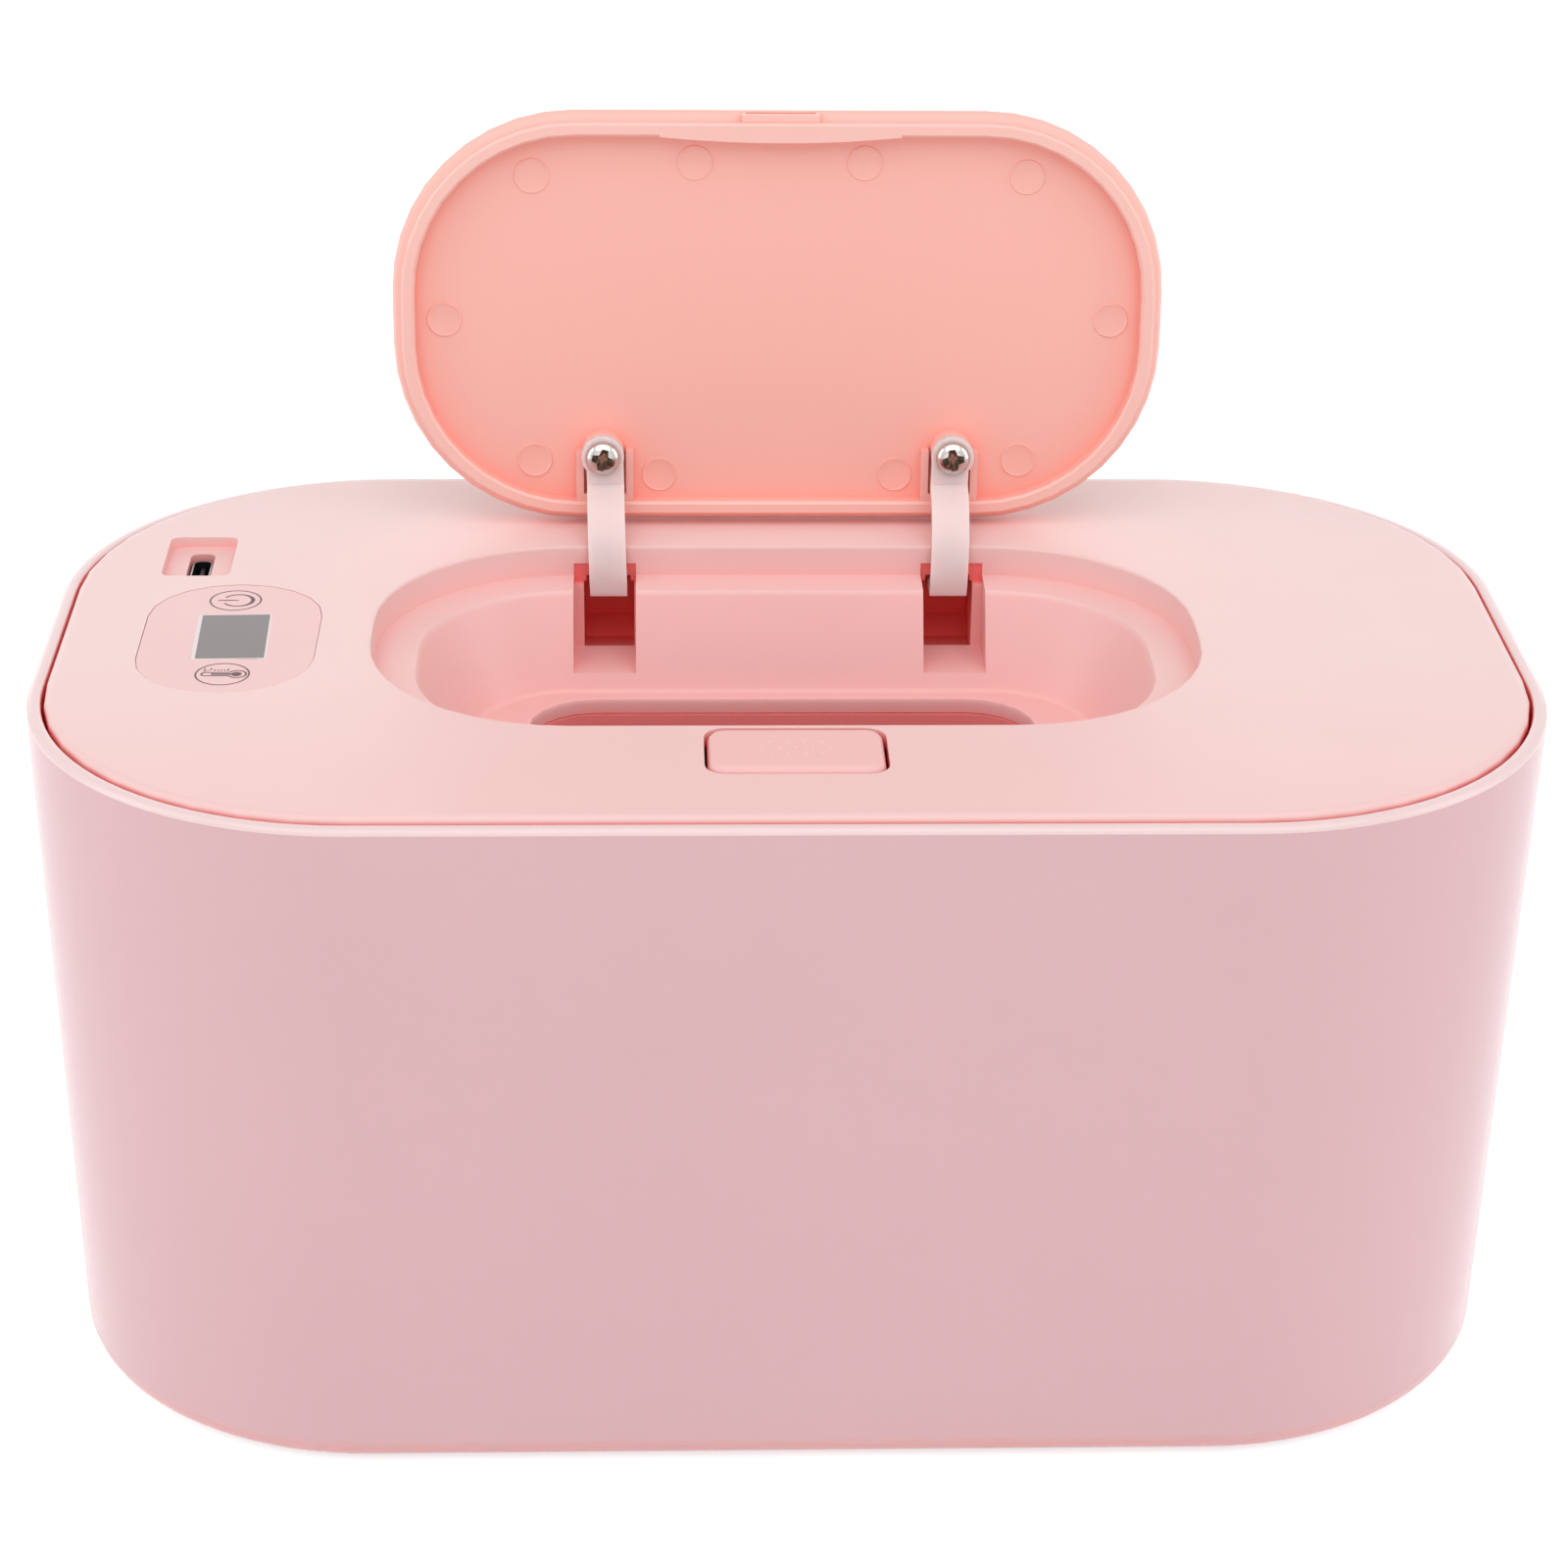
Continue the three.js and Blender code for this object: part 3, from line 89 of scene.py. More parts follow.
world = bpy.data.worlds.new("white_surround")
bpy.context.scene.world = world
world.use_nodes = True
sky_new = world.node_tree.nodes.new
sky_link = world.node_tree.links.new
surround = world.node_tree.nodes["Background"]
surround.inputs["Color"].default_value = (1, 1, 1, 1)
surround.inputs["Strength"].default_value = 0.5
backdrop = sky_new("ShaderNodeBackground")
backdrop.inputs["Color"].default_value = (1, 1, 1, 1)
backdrop.inputs["Strength"].default_value = 1.0
backdrop_mix = sky_new("ShaderNodeMixShader")
sky_link(background_rays(sky_new, sky_link), backdrop_mix.inputs[0])
sky_link(surround.outputs[0], backdrop_mix.inputs[1])
sky_link(backdrop.outputs[0], backdrop_mix.inputs[2])
sky_link(backdrop_mix.outputs[0], world.node_tree.nodes["World Output"].inputs["Surface"])

floor_reach = 3.0
floor_mesh = bpy.data.meshes.new("floor")
floor_mesh.from_pydata(
    [(-floor_reach, -floor_reach, 0), (floor_reach, -floor_reach, 0),
     (floor_reach, floor_reach, 0), (-floor_reach, floor_reach, 0)], [], [(0, 1, 2, 3)])
floor = bpy.data.objects.new("floor", floor_mesh)
bpy.context.scene.collection.objects.link(floor)
paper = bpy.data.materials.new("white_paper")
paper.use_nodes = True
paper_new = paper.node_tree.nodes.new
paper_link = paper.node_tree.links.new
paper_surface = paper.node_tree.nodes["Principled BSDF"]
paper_surface.inputs["Base Color"].default_value = (0.86, 0.86, 0.86, 1)
paper_surface.inputs["Roughness"].default_value = 0.9
paper_lift = paper_new("ShaderNodeEmission")
paper_lift.inputs["Strength"].default_value = 0.6
paper_sum = paper_new("ShaderNodeAddShader")
paper_mix = paper_new("ShaderNodeMixShader")
paper_link(paper_surface.outputs[0], paper_sum.inputs[0])
paper_link(paper_lift.outputs[0], paper_sum.inputs[1])
paper_link(background_rays(paper_new, paper_link), paper_mix.inputs[0])
paper_link(paper_surface.outputs[0], paper_mix.inputs[1])
paper_link(paper_sum.outputs[0], paper_mix.inputs[2])
paper_link(paper_mix.outputs[0], paper.node_tree.nodes["Material Output"].inputs["Surface"])
floor_mesh.materials.append(paper)


def soft_box(name, place, target, width, height, watts):
    """A rectangular lamp that looks from its place to its target."""
    data = bpy.data.lights.new(name, "AREA")
    data.shape = "RECTANGLE"
    data.size = width
    data.size_y = height
    data.energy = watts
    light = bpy.data.objects.new(name, data)
    light.location = place
    light.rotation_euler = (Vector(target) - Vector(place)).to_track_quat("-Z", "Y").to_euler()
    bpy.context.scene.collection.objects.link(light)


soft_box("overhead", (0.0, -0.5, 1.0), (0, 0, 0.1), 1.4, 1.1, 5.8)
soft_box("front_fill", (0.0, -1.3, 0.25), (0, 0, 0.1), 1.6, 0.6, 1.5)
soft_box("rear_fill", (0.0, 1.3, 0.3), (0, 0, 0.1), 1.6, 0.6, 3.2)
soft_box("left_strip", (-0.9, -0.15, 0.35), (0, 0, 0.06), 0.5, 0.9, 2.1)
soft_box("right_strip", (0.9, -0.15, 0.35), (0, 0, 0.06), 0.5, 0.9, 1.9)


# Outer shell: a one-piece tub with drafted walls, a rolled rim and four foot pockets,
# injection moulded in glossy pink polypropylene with the faint orange peel of a polished mould.
mm = 0.001
tub_width = 230 * mm
tub_depth = 139.1 * mm
tub_corner = 50.8 * mm
tub_top = 109.3 * mm
tub_base = 0.8 * mm
tub_draft = 2.9 * mm
tub_wall = 2.2 * mm
tub_floor = 2.4 * mm
base_fillet = 3.9 * mm
inner_fillet = 3.0 * mm
rim_outside = 0.9 * mm
rim_inside = 0.5 * mm
rim_band = 1.2 * mm
foot_pocket = 5.9 * mm
foot_ceiling = 2.2 * mm
corner_steps = 24
foot_sides = 40
wall_rings = (2, 8, 20)
weld_reach = 0.001 * mm
wall_margin = 0.2 * mm
rim_line = 0.3 * mm
# Painted shade in the fit between the tub and the cover: the reach below the rim, the share there and the
# share further down.
fit_reach = 3
fit_shade = 0.6
inside_shade = 0.15


def paint(red, green, blue):
    """A colour read off a paint chip, as the shader wants it."""
    shares = [channel / 255 for channel in (red, green, blue)]
    return [((share + 0.055) / 1.055) ** 2.4 for share in shares]


def moulded(name, colour, roughness, grain, grain_depth, glow=0.0, deep=None, painted_crease_shade=None, front=0.0):
    """Moulded plastic: a slow drift of pigment, patchy gloss and the grain of its mould.

    Glow is the share of light that wanders through the plastic before it comes out.
    Where the mesh's depth says, the colour turns to the deep colour: painted shade in recesses
    and fits, and painted glow where light would come through the wall. Some of that colour, the
    front share, is painted towards the front edge as painted shade. In corners and under edges an
    occlusion test paints shade into the colour, in a given colour and share.
    """
    pigment_drift = 0.975
    gloss_drift = 0.15
    front_from = -10 * mm
    front_to = -60 * mm
    crease_reach = 9 * mm
    light_reach = 6 * mm
    material = bpy.data.materials.new(name)
    material.use_nodes = True
    new = material.node_tree.nodes.new
    link = material.node_tree.links.new
    surface = material.node_tree.nodes["Principled BSDF"]
    surface.inputs["IOR"].default_value = 1.49
    surface.inputs["Subsurface Weight"].default_value = glow
    surface.inputs["Subsurface Radius"].default_value = (1.0, 0.35, 0.3)
    surface.inputs["Subsurface Scale"].default_value = light_reach
    place = new("ShaderNodeTexCoord")
    drift = new("ShaderNodeTexNoise")
    drift.inputs["Scale"].default_value = 14
    drift.inputs["Detail"].default_value = 3
    pigment = new("ShaderNodeValToRGB")
    pigment.color_ramp.elements[0].position = 0.3
    pigment.color_ramp.elements[0].color = (*[channel * pigment_drift for channel in colour], 1)
    pigment.color_ramp.elements[1].position = 0.7
    pigment.color_ramp.elements[1].color = (*colour, 1)
    patches = new("ShaderNodeTexNoise")
    patches.inputs["Scale"].default_value = 90
    patches.inputs["Detail"].default_value = 4
    gloss = new("ShaderNodeMapRange")
    gloss.inputs["To Min"].default_value = roughness * (1 - gloss_drift)
    gloss.inputs["To Max"].default_value = roughness * (1 + gloss_drift)
    skin = new("ShaderNodeTexNoise")
    skin.inputs["Scale"].default_value = grain
    skin.inputs["Detail"].default_value = 2
    bump = new("ShaderNodeBump")
    bump.inputs["Strength"].default_value = 0.25
    bump.inputs["Distance"].default_value = grain_depth
    for texture in (drift, patches, skin):
        link(place.outputs["Object"], texture.inputs["Vector"])
    link(drift.outputs["Fac"], pigment.inputs["Fac"])
    tinted = pigment.outputs["Color"]
    # Painted shade and glow: the depth attribute, with the front share, mixes in the deep colour.
    if deep:
        depth = new("ShaderNodeAttribute")
        depth.attribute_name = "depth"
        deepening = new("ShaderNodeMix")
        deepening.data_type = "RGBA"
        deepening.inputs["B"].default_value = (*deep, 1)
        # Painted shade that grows towards the front edge along Y.
        toward_front = new("ShaderNodeSeparateXYZ")
        front_shade = new("ShaderNodeMapRange")
        front_shade.inputs["From Min"].default_value = front_from
        front_shade.inputs["From Max"].default_value = front_to
        front_shade.inputs["To Max"].default_value = front
        both = new("ShaderNodeMath")
        both.use_clamp = True
        link(place.outputs["Object"], toward_front.inputs["Vector"])
        link(toward_front.outputs["Y"], front_shade.inputs["Value"])
        link(depth.outputs["Fac"], both.inputs[0])
        link(front_shade.outputs["Result"], both.inputs[1])
        link(both.outputs[0], deepening.inputs["Factor"])
        link(tinted, deepening.inputs["A"])
        tinted = deepening.outputs["Result"]
    # Painted crease shade: an occlusion test mixes in the given colour in corners and under edges.
    if painted_crease_shade:
        nearness = new("ShaderNodeAmbientOcclusion")
        nearness.samples = 4
        nearness.inputs["Distance"].default_value = crease_reach
        crease = new("ShaderNodeMapRange")
        crease.inputs["From Min"].default_value = 0.95
        crease.inputs["From Max"].default_value = 0.1
        crease.inputs["To Max"].default_value = painted_crease_shade[1]
        crease_shade_mix = new("ShaderNodeMix")
        crease_shade_mix.data_type = "RGBA"
        crease_shade_mix.inputs["B"].default_value = (*painted_crease_shade[0], 1)
        link(nearness.outputs["AO"], crease.inputs["Value"])
        link(crease.outputs["Result"], crease_shade_mix.inputs["Factor"])
        link(tinted, crease_shade_mix.inputs["A"])
        tinted = crease_shade_mix.outputs["Result"]
    link(tinted, surface.inputs["Base Color"])
    link(patches.outputs["Fac"], gloss.inputs["Value"])
    link(gloss.outputs["Result"], surface.inputs["Roughness"])
    link(skin.outputs["Fac"], bump.inputs["Height"])
    link(bump.outputs["Normal"], surface.inputs["Normal"])
    return material


def new_tree(name, inputs):
    """An empty Geometry Nodes tree with the mesh it starts from and its named inputs."""
    tree = bpy.data.node_groups.new(name, "GeometryNodeTree")
    tree.interface.new_socket("Geometry", in_out="INPUT", socket_type="NodeSocketGeometry")
    for label, kind in inputs:
        tree.interface.new_socket(label, in_out="INPUT", socket_type="NodeSocket" + kind)
    tree.interface.new_socket("Geometry", in_out="OUTPUT", socket_type="NodeSocketGeometry")
    return tree


def grow(tree, start, values):
    """The plain mesh that the tree makes from a starting mesh and its input values."""
    maker = bpy.data.objects.new("maker", start)
    bpy.context.scene.collection.objects.link(maker)
    modifier = maker.modifiers.new(tree.name, "NODES")
    modifier.node_group = tree
    sockets = {item.name: item.identifier for item in tree.interface.items_tree if item.in_out == "INPUT"}
    for label, value in values.items():
        modifier[sockets[label]] = value
    result = maker.evaluated_get(bpy.context.evaluated_depsgraph_get())
    mesh = bpy.data.meshes.new_from_object(result)
    bpy.data.objects.remove(maker)
    return mesh


def smoothed(mesh, sharp=40, crisp=None):
    """Shades the mesh smooth, except across edges sharper than this, or than 15 degrees where crisp."""
    crisp_sharp = 15
    form = bmesh.new()
    form.from_mesh(mesh)
    for face in form.faces:
        face.smooth = True
    for edge in form.edges:
        middle = (edge.verts[0].co + edge.verts[1].co) / 2
        limit = crisp_sharp if crisp and crisp(middle) else sharp
        edge.smooth = edge.calc_face_angle(0) < math.radians(limit)
    form.to_mesh(mesh)
    form.free()
    return mesh


def deepened(mesh, rule):
    """Writes how much painted shade each point takes as its share of the deep colour, from nothing on the
    open face to one.
    """
    depth = mesh.attributes.new("depth", "FLOAT", "POINT")
    for vert in mesh.vertices:
        depth.data[vert.index].value = min(1.0, max(0.0, rule(vert.co)))
    return mesh


def piece(name, mesh, body, replaces=()):
    """A finished piece that rides on its body and may stand for CAD nodes."""
    mesh.name = name
    made = bpy.data.objects.new(name, mesh)
    bpy.context.scene.collection.objects.link(made)
    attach(made, body)
    if replaces:
        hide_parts(*replaces)
    return made


rolled_wall = new_tree("rolled_wall", [
    ("Width", "Float"), ("Depth", "Float"), ("Corner", "Float"), ("Corner Steps", "Int"),
    ("Finish", "Material")])
wall_new = rolled_wall.nodes.new
wall_link = rolled_wall.links.new
wall_in = wall_new("NodeGroupInput")
wall_out = wall_new("NodeGroupOutput")
wall_sides = wall_new("GeometryNodeCurvePrimitiveQuadrilateral")
wall_corners = wall_new("GeometryNodeFilletCurve")
wall_corners.mode = "POLY"
wall_section = wall_new("GeometryNodeMeshToCurve")
wall_sweep = wall_new("GeometryNodeCurveToMesh")
wall_real = wall_new("GeometryNodeRealizeInstances")
wall_finish = wall_new("GeometryNodeSetMaterial")
wall_link(wall_in.outputs["Width"], wall_sides.inputs["Width"])
wall_link(wall_in.outputs["Depth"], wall_sides.inputs["Height"])
wall_link(wall_sides.outputs["Curve"], wall_corners.inputs["Curve"])
wall_link(wall_in.outputs["Corner"], wall_corners.inputs["Radius"])
wall_link(wall_in.outputs["Corner Steps"], wall_corners.inputs["Count"])
wall_link(wall_in.outputs["Geometry"], wall_section.inputs["Mesh"])
wall_link(wall_corners.outputs["Curve"], wall_sweep.inputs["Curve"])
wall_link(wall_section.outputs["Curve"], wall_sweep.inputs["Profile Curve"])
wall_link(wall_sweep.outputs["Mesh"], wall_real.inputs["Geometry"])
wall_link(wall_real.outputs["Geometry"], wall_finish.inputs["Geometry"])
wall_link(wall_in.outputs["Finish"], wall_finish.inputs["Material"])
wall_link(wall_finish.outputs["Geometry"], wall_out.inputs["Geometry"])


def tub_lean(height):
    """How far the drafted wall stands in from the rim at a height."""
    return tub_draft * (tub_top - height) / (tub_top - tub_base)


def quarter(radius, steps):
    """Steps of inset and rise round a quarter turn, from the flat end to the upright end."""
    turns = [step / steps * math.pi / 2 for step in range(steps + 1)]
    return [(radius * (1 - math.sin(turn)), radius * (1 - math.cos(turn))) for turn in turns]


# The wall's section, from the foot up the outside, over the rim and down the inside to the floor.
tub_section = [(inset + tub_lean(tub_base + rise), tub_base + rise)
               for inset, rise in quarter(base_fillet, 8)]
tub_section += [(inset, tub_top - rise) for inset, rise in reversed(quarter(rim_outside, 6))]
tub_section += [(tub_wall - inset, tub_top - rise) for inset, rise in quarter(rim_inside, 4)]
tub_section += [(tub_wall + tub_lean(tub_top - drop * mm) / 2, tub_top - drop * mm)
                for drop in wall_rings]
tub_section += [(tub_wall + inset + tub_lean(tub_base + tub_floor + rise), tub_base + tub_floor + rise)
                for inset, rise in reversed(quarter(inner_fillet, 6))]
tub_start = bpy.data.meshes.new("tub_section")
tub_start.from_pydata([(-inset, -height, 0) for inset, height in tub_section],
                      [(i, i + 1) for i in range(len(tub_section) - 1)], [])
# The deep red is the colour of painted shade and painted glow in the fits, the chambers, the well and the
# under cover.
painted_shade_red = paint(255, 80, 79)
shell_pink = moulded("shell_pink", paint(223, 181, 186), 0.2, 450, 0.00002, deep=painted_shade_red)
# The rim band is painted paler than the body: a painted highlight where the overhead light falls on it.
rim_highlight_pink = moulded("rim_highlight_pink", paint(241, 213, 213), 0.2, 450, 0.00002)
# The tub's inside wall takes painted shade in the fit under the cover and a painted crease shade in its
# corners.
tub_inside_pink = moulded("tub_inside_pink", paint(228, 190, 192), 0.3, 450, 0.00002, glow=0.7,
                          deep=painted_shade_red, painted_crease_shade=(paint(255, 120, 112), 0.5))
tub_mesh = grow(rolled_wall, tub_start, {
    "Width": tub_width, "Depth": tub_depth, "Corner": tub_corner, "Corner Steps": corner_steps,
    "Finish": shell_pink})
tub_form = bmesh.new()
tub_form.from_mesh(tub_mesh)
bmesh.ops.remove_doubles(tub_form, verts=tub_form.verts, dist=weld_reach)
bmesh.ops.holes_fill(tub_form, edges=[edge for edge in tub_form.edges if edge.is_boundary], sides=0)
bmesh.ops.recalc_face_normals(tub_form, faces=tub_form.faces)
tub_form.to_mesh(tub_mesh)
tub_form.free()

foot_names = ["foot_front_left", "foot_front_right", "foot_rear_left", "foot_rear_right"]
drill_form = bmesh.new()
for foot_name in foot_names:
    low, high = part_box(foot_name)
    foot_middle = Matrix.Translation(((low.x + high.x) / 2, (low.y + high.y) / 2, 0))
    bmesh.ops.create_cone(drill_form, cap_ends=True, segments=foot_sides, radius1=foot_pocket,
                          radius2=foot_pocket, depth=2 * foot_ceiling, matrix=foot_middle)
drill_mesh = bpy.data.meshes.new("foot_drill")
drill_form.to_mesh(drill_mesh)
drill_form.free()


def carved(mesh, cutter_mesh, operation="DIFFERENCE"):
    """The mesh with a cutter's shape taken out of it, or joined to it."""
    body = bpy.data.objects.new("body", mesh)
    cutter = bpy.data.objects.new("cutter", cutter_mesh)
    for thing in (body, cutter):
        bpy.context.scene.collection.objects.link(thing)
    modifier = body.modifiers.new("cut", "BOOLEAN")
    modifier.object = cutter
    modifier.operation = operation
    modifier.solver = "EXACT"
    result = body.evaluated_get(bpy.context.evaluated_depsgraph_get())
    finished = bpy.data.meshes.new_from_object(result)
    bpy.data.objects.remove(body)
    bpy.data.objects.remove(cutter)
    return finished


def inside_edge(point, width, depth, corner):
    """How far a point lies inside a rounded rectangle about the origin, seen from above."""
    over_x = abs(point.x) - (width / 2 - corner)
    over_y = abs(point.y) - (depth / 2 - corner)
    outside = math.hypot(max(over_x, 0), max(over_y, 0))
    return corner - outside - min(max(over_x, over_y), 0)


def tub_shade_at(point):
    """Painted shade down the fit between the tub and the cover, standing in for the shade there and the
    light that comes through both walls.
    """
    if inside_edge(point, tub_width, tub_depth, tub_corner) < tub_wall - wall_margin:
        return 0
    if point.z < tub_floor + inner_fillet:
        return 0
    drop = (tub_top - point.z) / mm
    return min(fit_shade, drop / 2) if drop < fit_reach else inside_shade


tub_mesh = smoothed(carved(tub_mesh, drill_mesh), 50)
tub_mesh.materials.append(rim_highlight_pink)
tub_mesh.materials.append(tub_inside_pink)
# The rim band takes the painted-highlight pink, and the inside wall takes the pink with painted shade.
for face in tub_mesh.polygons:
    edge = inside_edge(face.center, tub_width, tub_depth, tub_corner)
    inside = edge > tub_wall - rim_line and face.center.z > tub_base + tub_floor / 2
    if inside and face.center.z < tub_top - rim_line:
        face.material_index = 2
    elif face.center.z > tub_top - rim_band:
        face.material_index = 1
piece("tub", deepened(tub_mesh, tub_shade_at), "case", ["outer_shell"])


# Seat ribs: eight short buttresses, two to a side, whose flat tops carry the cover. They are
# moulded with the tub's wall, in its own pink, and the cover hides them.
rib_thickness = 2.0 * mm
rib_reach = 1.9 * mm
rib_top = 107.7 * mm
rib_height = 12 * mm
rib_flat = 3 * mm
rib_edge = 0.2 * mm
rib_side_share = 0.42
rib_end_share = 0.16

set_out = new_tree("set_out", [("Form", "Object"), ("Finish", "Material")])
out_new = set_out.nodes.new
out_link = set_out.links.new
out_in = out_new("NodeGroupInput")
out_out = out_new("NodeGroupOutput")
out_form = out_new("GeometryNodeObjectInfo")
out_turn = out_new("GeometryNodeInputNamedAttribute")
out_turn.data_type = "FLOAT_VECTOR"
out_turn.inputs["Name"].default_value = "turn"
out_rotation = out_new("FunctionNodeEulerToRotation")
out_place = out_new("GeometryNodeInstanceOnPoints")
out_real = out_new("GeometryNodeRealizeInstances")
out_finish = out_new("GeometryNodeSetMaterial")
out_link(out_in.outputs["Geometry"], out_place.inputs["Points"])
out_link(out_in.outputs["Form"], out_form.inputs["Object"])
out_link(out_form.outputs["Geometry"], out_place.inputs["Instance"])
out_link(out_turn.outputs["Attribute"], out_rotation.inputs["Euler"])
out_link(out_rotation.outputs["Rotation"], out_place.inputs["Rotation"])
out_link(out_place.outputs["Instances"], out_real.inputs["Geometry"])
out_link(out_real.outputs["Geometry"], out_finish.inputs["Geometry"])
out_link(out_in.outputs["Finish"], out_finish.inputs["Material"])
out_link(out_finish.outputs["Geometry"], out_out.inputs["Geometry"])


def set_out_mesh(form_mesh, places, finish):
    """The same form at each place: a point and the turn about X, Y and Z that it stands at."""
    form = bpy.data.objects.new("form", form_mesh)
    bpy.context.scene.collection.objects.link(form)
    start = bpy.data.meshes.new("places")
    start.from_pydata([place for place, turn in places], [], [])
    turns = start.attributes.new("turn", "FLOAT_VECTOR", "POINT")
    for i, (place, turn) in enumerate(places):
        turns.data[i].vector = turn
    mesh = grow(set_out, start, {"Form": form, "Finish": finish})
    bpy.data.objects.remove(form)
    return mesh


rib_side = [
    (-tub_wall / 2, rib_top), (-tub_wall / 2, rib_top - rib_height),
    (tub_lean(rib_top - rib_height), rib_top - rib_height),
    (rib_reach, rib_top - rib_flat), (rib_reach, rib_top)]
rib_form = bmesh.new()
rib_face = rib_form.faces.new([
    rib_form.verts.new((reach, -rib_thickness / 2, height)) for reach, height in rib_side])
rib_grown = bmesh.ops.extrude_face_region(rib_form, geom=[rib_face])
rib_moved = [item for item in rib_grown["geom"] if isinstance(item, bmesh.types.BMVert)]
bmesh.ops.translate(rib_form, verts=rib_moved, vec=(0, rib_thickness, 0))
bmesh.ops.recalc_face_normals(rib_form, faces=rib_form.faces)
bmesh.ops.bevel(rib_form, geom=list(rib_form.edges), offset=rib_edge, segments=2, affect="EDGES")
rib_mesh = bpy.data.meshes.new("rib")
rib_form.to_mesh(rib_mesh)
rib_form.free()
wall_x = tub_width / 2 - tub_wall
wall_y = tub_depth / 2 - tub_wall
rib_places = []
for sign in (-1, 1):
    along = sign * rib_side_share * tub_width / 2
    across = sign * rib_end_share * tub_depth / 2
    rib_places += [((along, -wall_y, 0), (0, 0, math.pi / 2)), ((along, wall_y, 0), (0, 0, -math.pi / 2))]
    rib_places += [((-wall_x, across, 0), (0, 0, 0)), ((wall_x, across, 0), (0, 0, math.pi))]
piece("seat_ribs", smoothed(set_out_mesh(rib_mesh, rib_places, shell_pink)), "case")


def coat(material, *names):
    """Gives carried-over CAD nodes their finish."""
    for name in names:
        nodes[name].data.materials.clear()
        nodes[name].data.materials.append(material)


foot_rubber = moulded("foot_rubber", paint(92, 90, 90), 0.75, 1800, 0.00005)
coat(foot_rubber, *foot_names)


# Under cover: closes the heater and the board from below, with a collar that passes the wipes.
# It is moulded in the same pink, deepened here with painted shade as it lies in the shade of the case, and
# seven screws go up through it.
under_cover_shade = 0.6


def whole_copy(node):
    """The node's shape with its doubles merged and its flats made whole."""
    double_reach = 2e-6
    flat_angle = 0.4
    mesh = nodes[node].data.copy()
    form = bmesh.new()
    form.from_mesh(mesh)
    bmesh.ops.remove_doubles(form, verts=form.verts, dist=double_reach)
    bmesh.ops.dissolve_limit(form, angle_limit=math.radians(flat_angle), verts=form.verts, edges=form.edges)
    form.to_mesh(mesh)
    form.free()
    mesh.materials.clear()
    return mesh


def moulded_shape(mesh, edge=0.0, crisp=None):
    """The mesh with a small radius on its hard edges and its flats shaded flat."""
    body = bpy.data.objects.new("body", smoothed(mesh, 40, crisp))
    bpy.context.scene.collection.objects.link(body)
    if edge:
        rounding = body.modifiers.new("moulded_edge", "BEVEL")
        rounding.width = edge
        rounding.segments = 2
        rounding.limit_method = "ANGLE"
        rounding.angle_limit = math.radians(40)
    flats = body.modifiers.new("flats", "WEIGHTED_NORMAL")
    flats.keep_sharp = True
    result = body.evaluated_get(bpy.context.evaluated_depsgraph_get())
    finished = bpy.data.meshes.new_from_object(result)
    bpy.data.objects.remove(body)
    return finished


def dressed(node, body, material, edge=0.0, rule=None, crisp=None):
    """A smooth copy of a node that stands for it."""
    mesh = moulded_shape(whole_copy(node), edge, crisp)
    mesh.materials.append(material)
    if rule:
        deepened(mesh, rule)
    return piece(node + "_piece", mesh, body, [node])


def always_shaded(point):
    """The whole of the under cover takes the same painted shade, as it lies in the shade of the case."""
    return under_cover_shade


inner_pink = moulded("inner_pink", paint(242, 198, 196), 0.45, 1600, 0.00003, deep=painted_shade_red)
dressed("under_cover", "cover", inner_pink, rule=always_shaded)


# Heating stack: an aluminium plate warms the well's floor, an amber polyimide film with its
# etched heating track lies on it, and a grey foam ring keeps the warmth from the case.
def metal(name, colour, roughness, grain, stretch, deep=None):
    """Worked metal: bright, with fine marks drawn out along the way it was turned or rolled."""
    material = bpy.data.materials.new(name)
    material.use_nodes = True
    new = material.node_tree.nodes.new
    link = material.node_tree.links.new
    surface = material.node_tree.nodes["Principled BSDF"]
    surface.inputs["Base Color"].default_value = (*colour, 1)
    surface.inputs["Metallic"].default_value = 1.0
    place = new("ShaderNodeTexCoord")
    drawn = new("ShaderNodeMapping")
    drawn.inputs["Scale"].default_value = stretch
    marks = new("ShaderNodeTexNoise")
    marks.inputs["Scale"].default_value = grain
    marks.inputs["Detail"].default_value = 5
    gloss = new("ShaderNodeMapRange")
    gloss.inputs["To Min"].default_value = roughness * 0.6
    gloss.inputs["To Max"].default_value = roughness * 1.5
    bump = new("ShaderNodeBump")
    bump.inputs["Strength"].default_value = 0.12
    bump.inputs["Distance"].default_value = 0.00002
    # Painted shade: where the mesh's depth says, the colour darkens towards the deep colour.
    if deep:
        depth = new("ShaderNodeAttribute")
        depth.attribute_name = "depth"
        recess_shading = new("ShaderNodeMix")
        recess_shading.data_type = "RGBA"
        recess_shading.inputs["A"].default_value = (*colour, 1)
        recess_shading.inputs["B"].default_value = (*deep, 1)
        link(depth.outputs["Fac"], recess_shading.inputs["Factor"])
        link(recess_shading.outputs["Result"], surface.inputs["Base Color"])
    link(place.outputs["Object"], drawn.inputs["Vector"])
    link(drawn.outputs["Vector"], marks.inputs["Vector"])
    link(marks.outputs["Fac"], gloss.inputs["Value"])
    link(gloss.outputs["Result"], surface.inputs["Roughness"])
    link(marks.outputs["Fac"], bump.inputs["Height"])
    link(bump.outputs["Normal"], surface.inputs["Normal"])
    return material


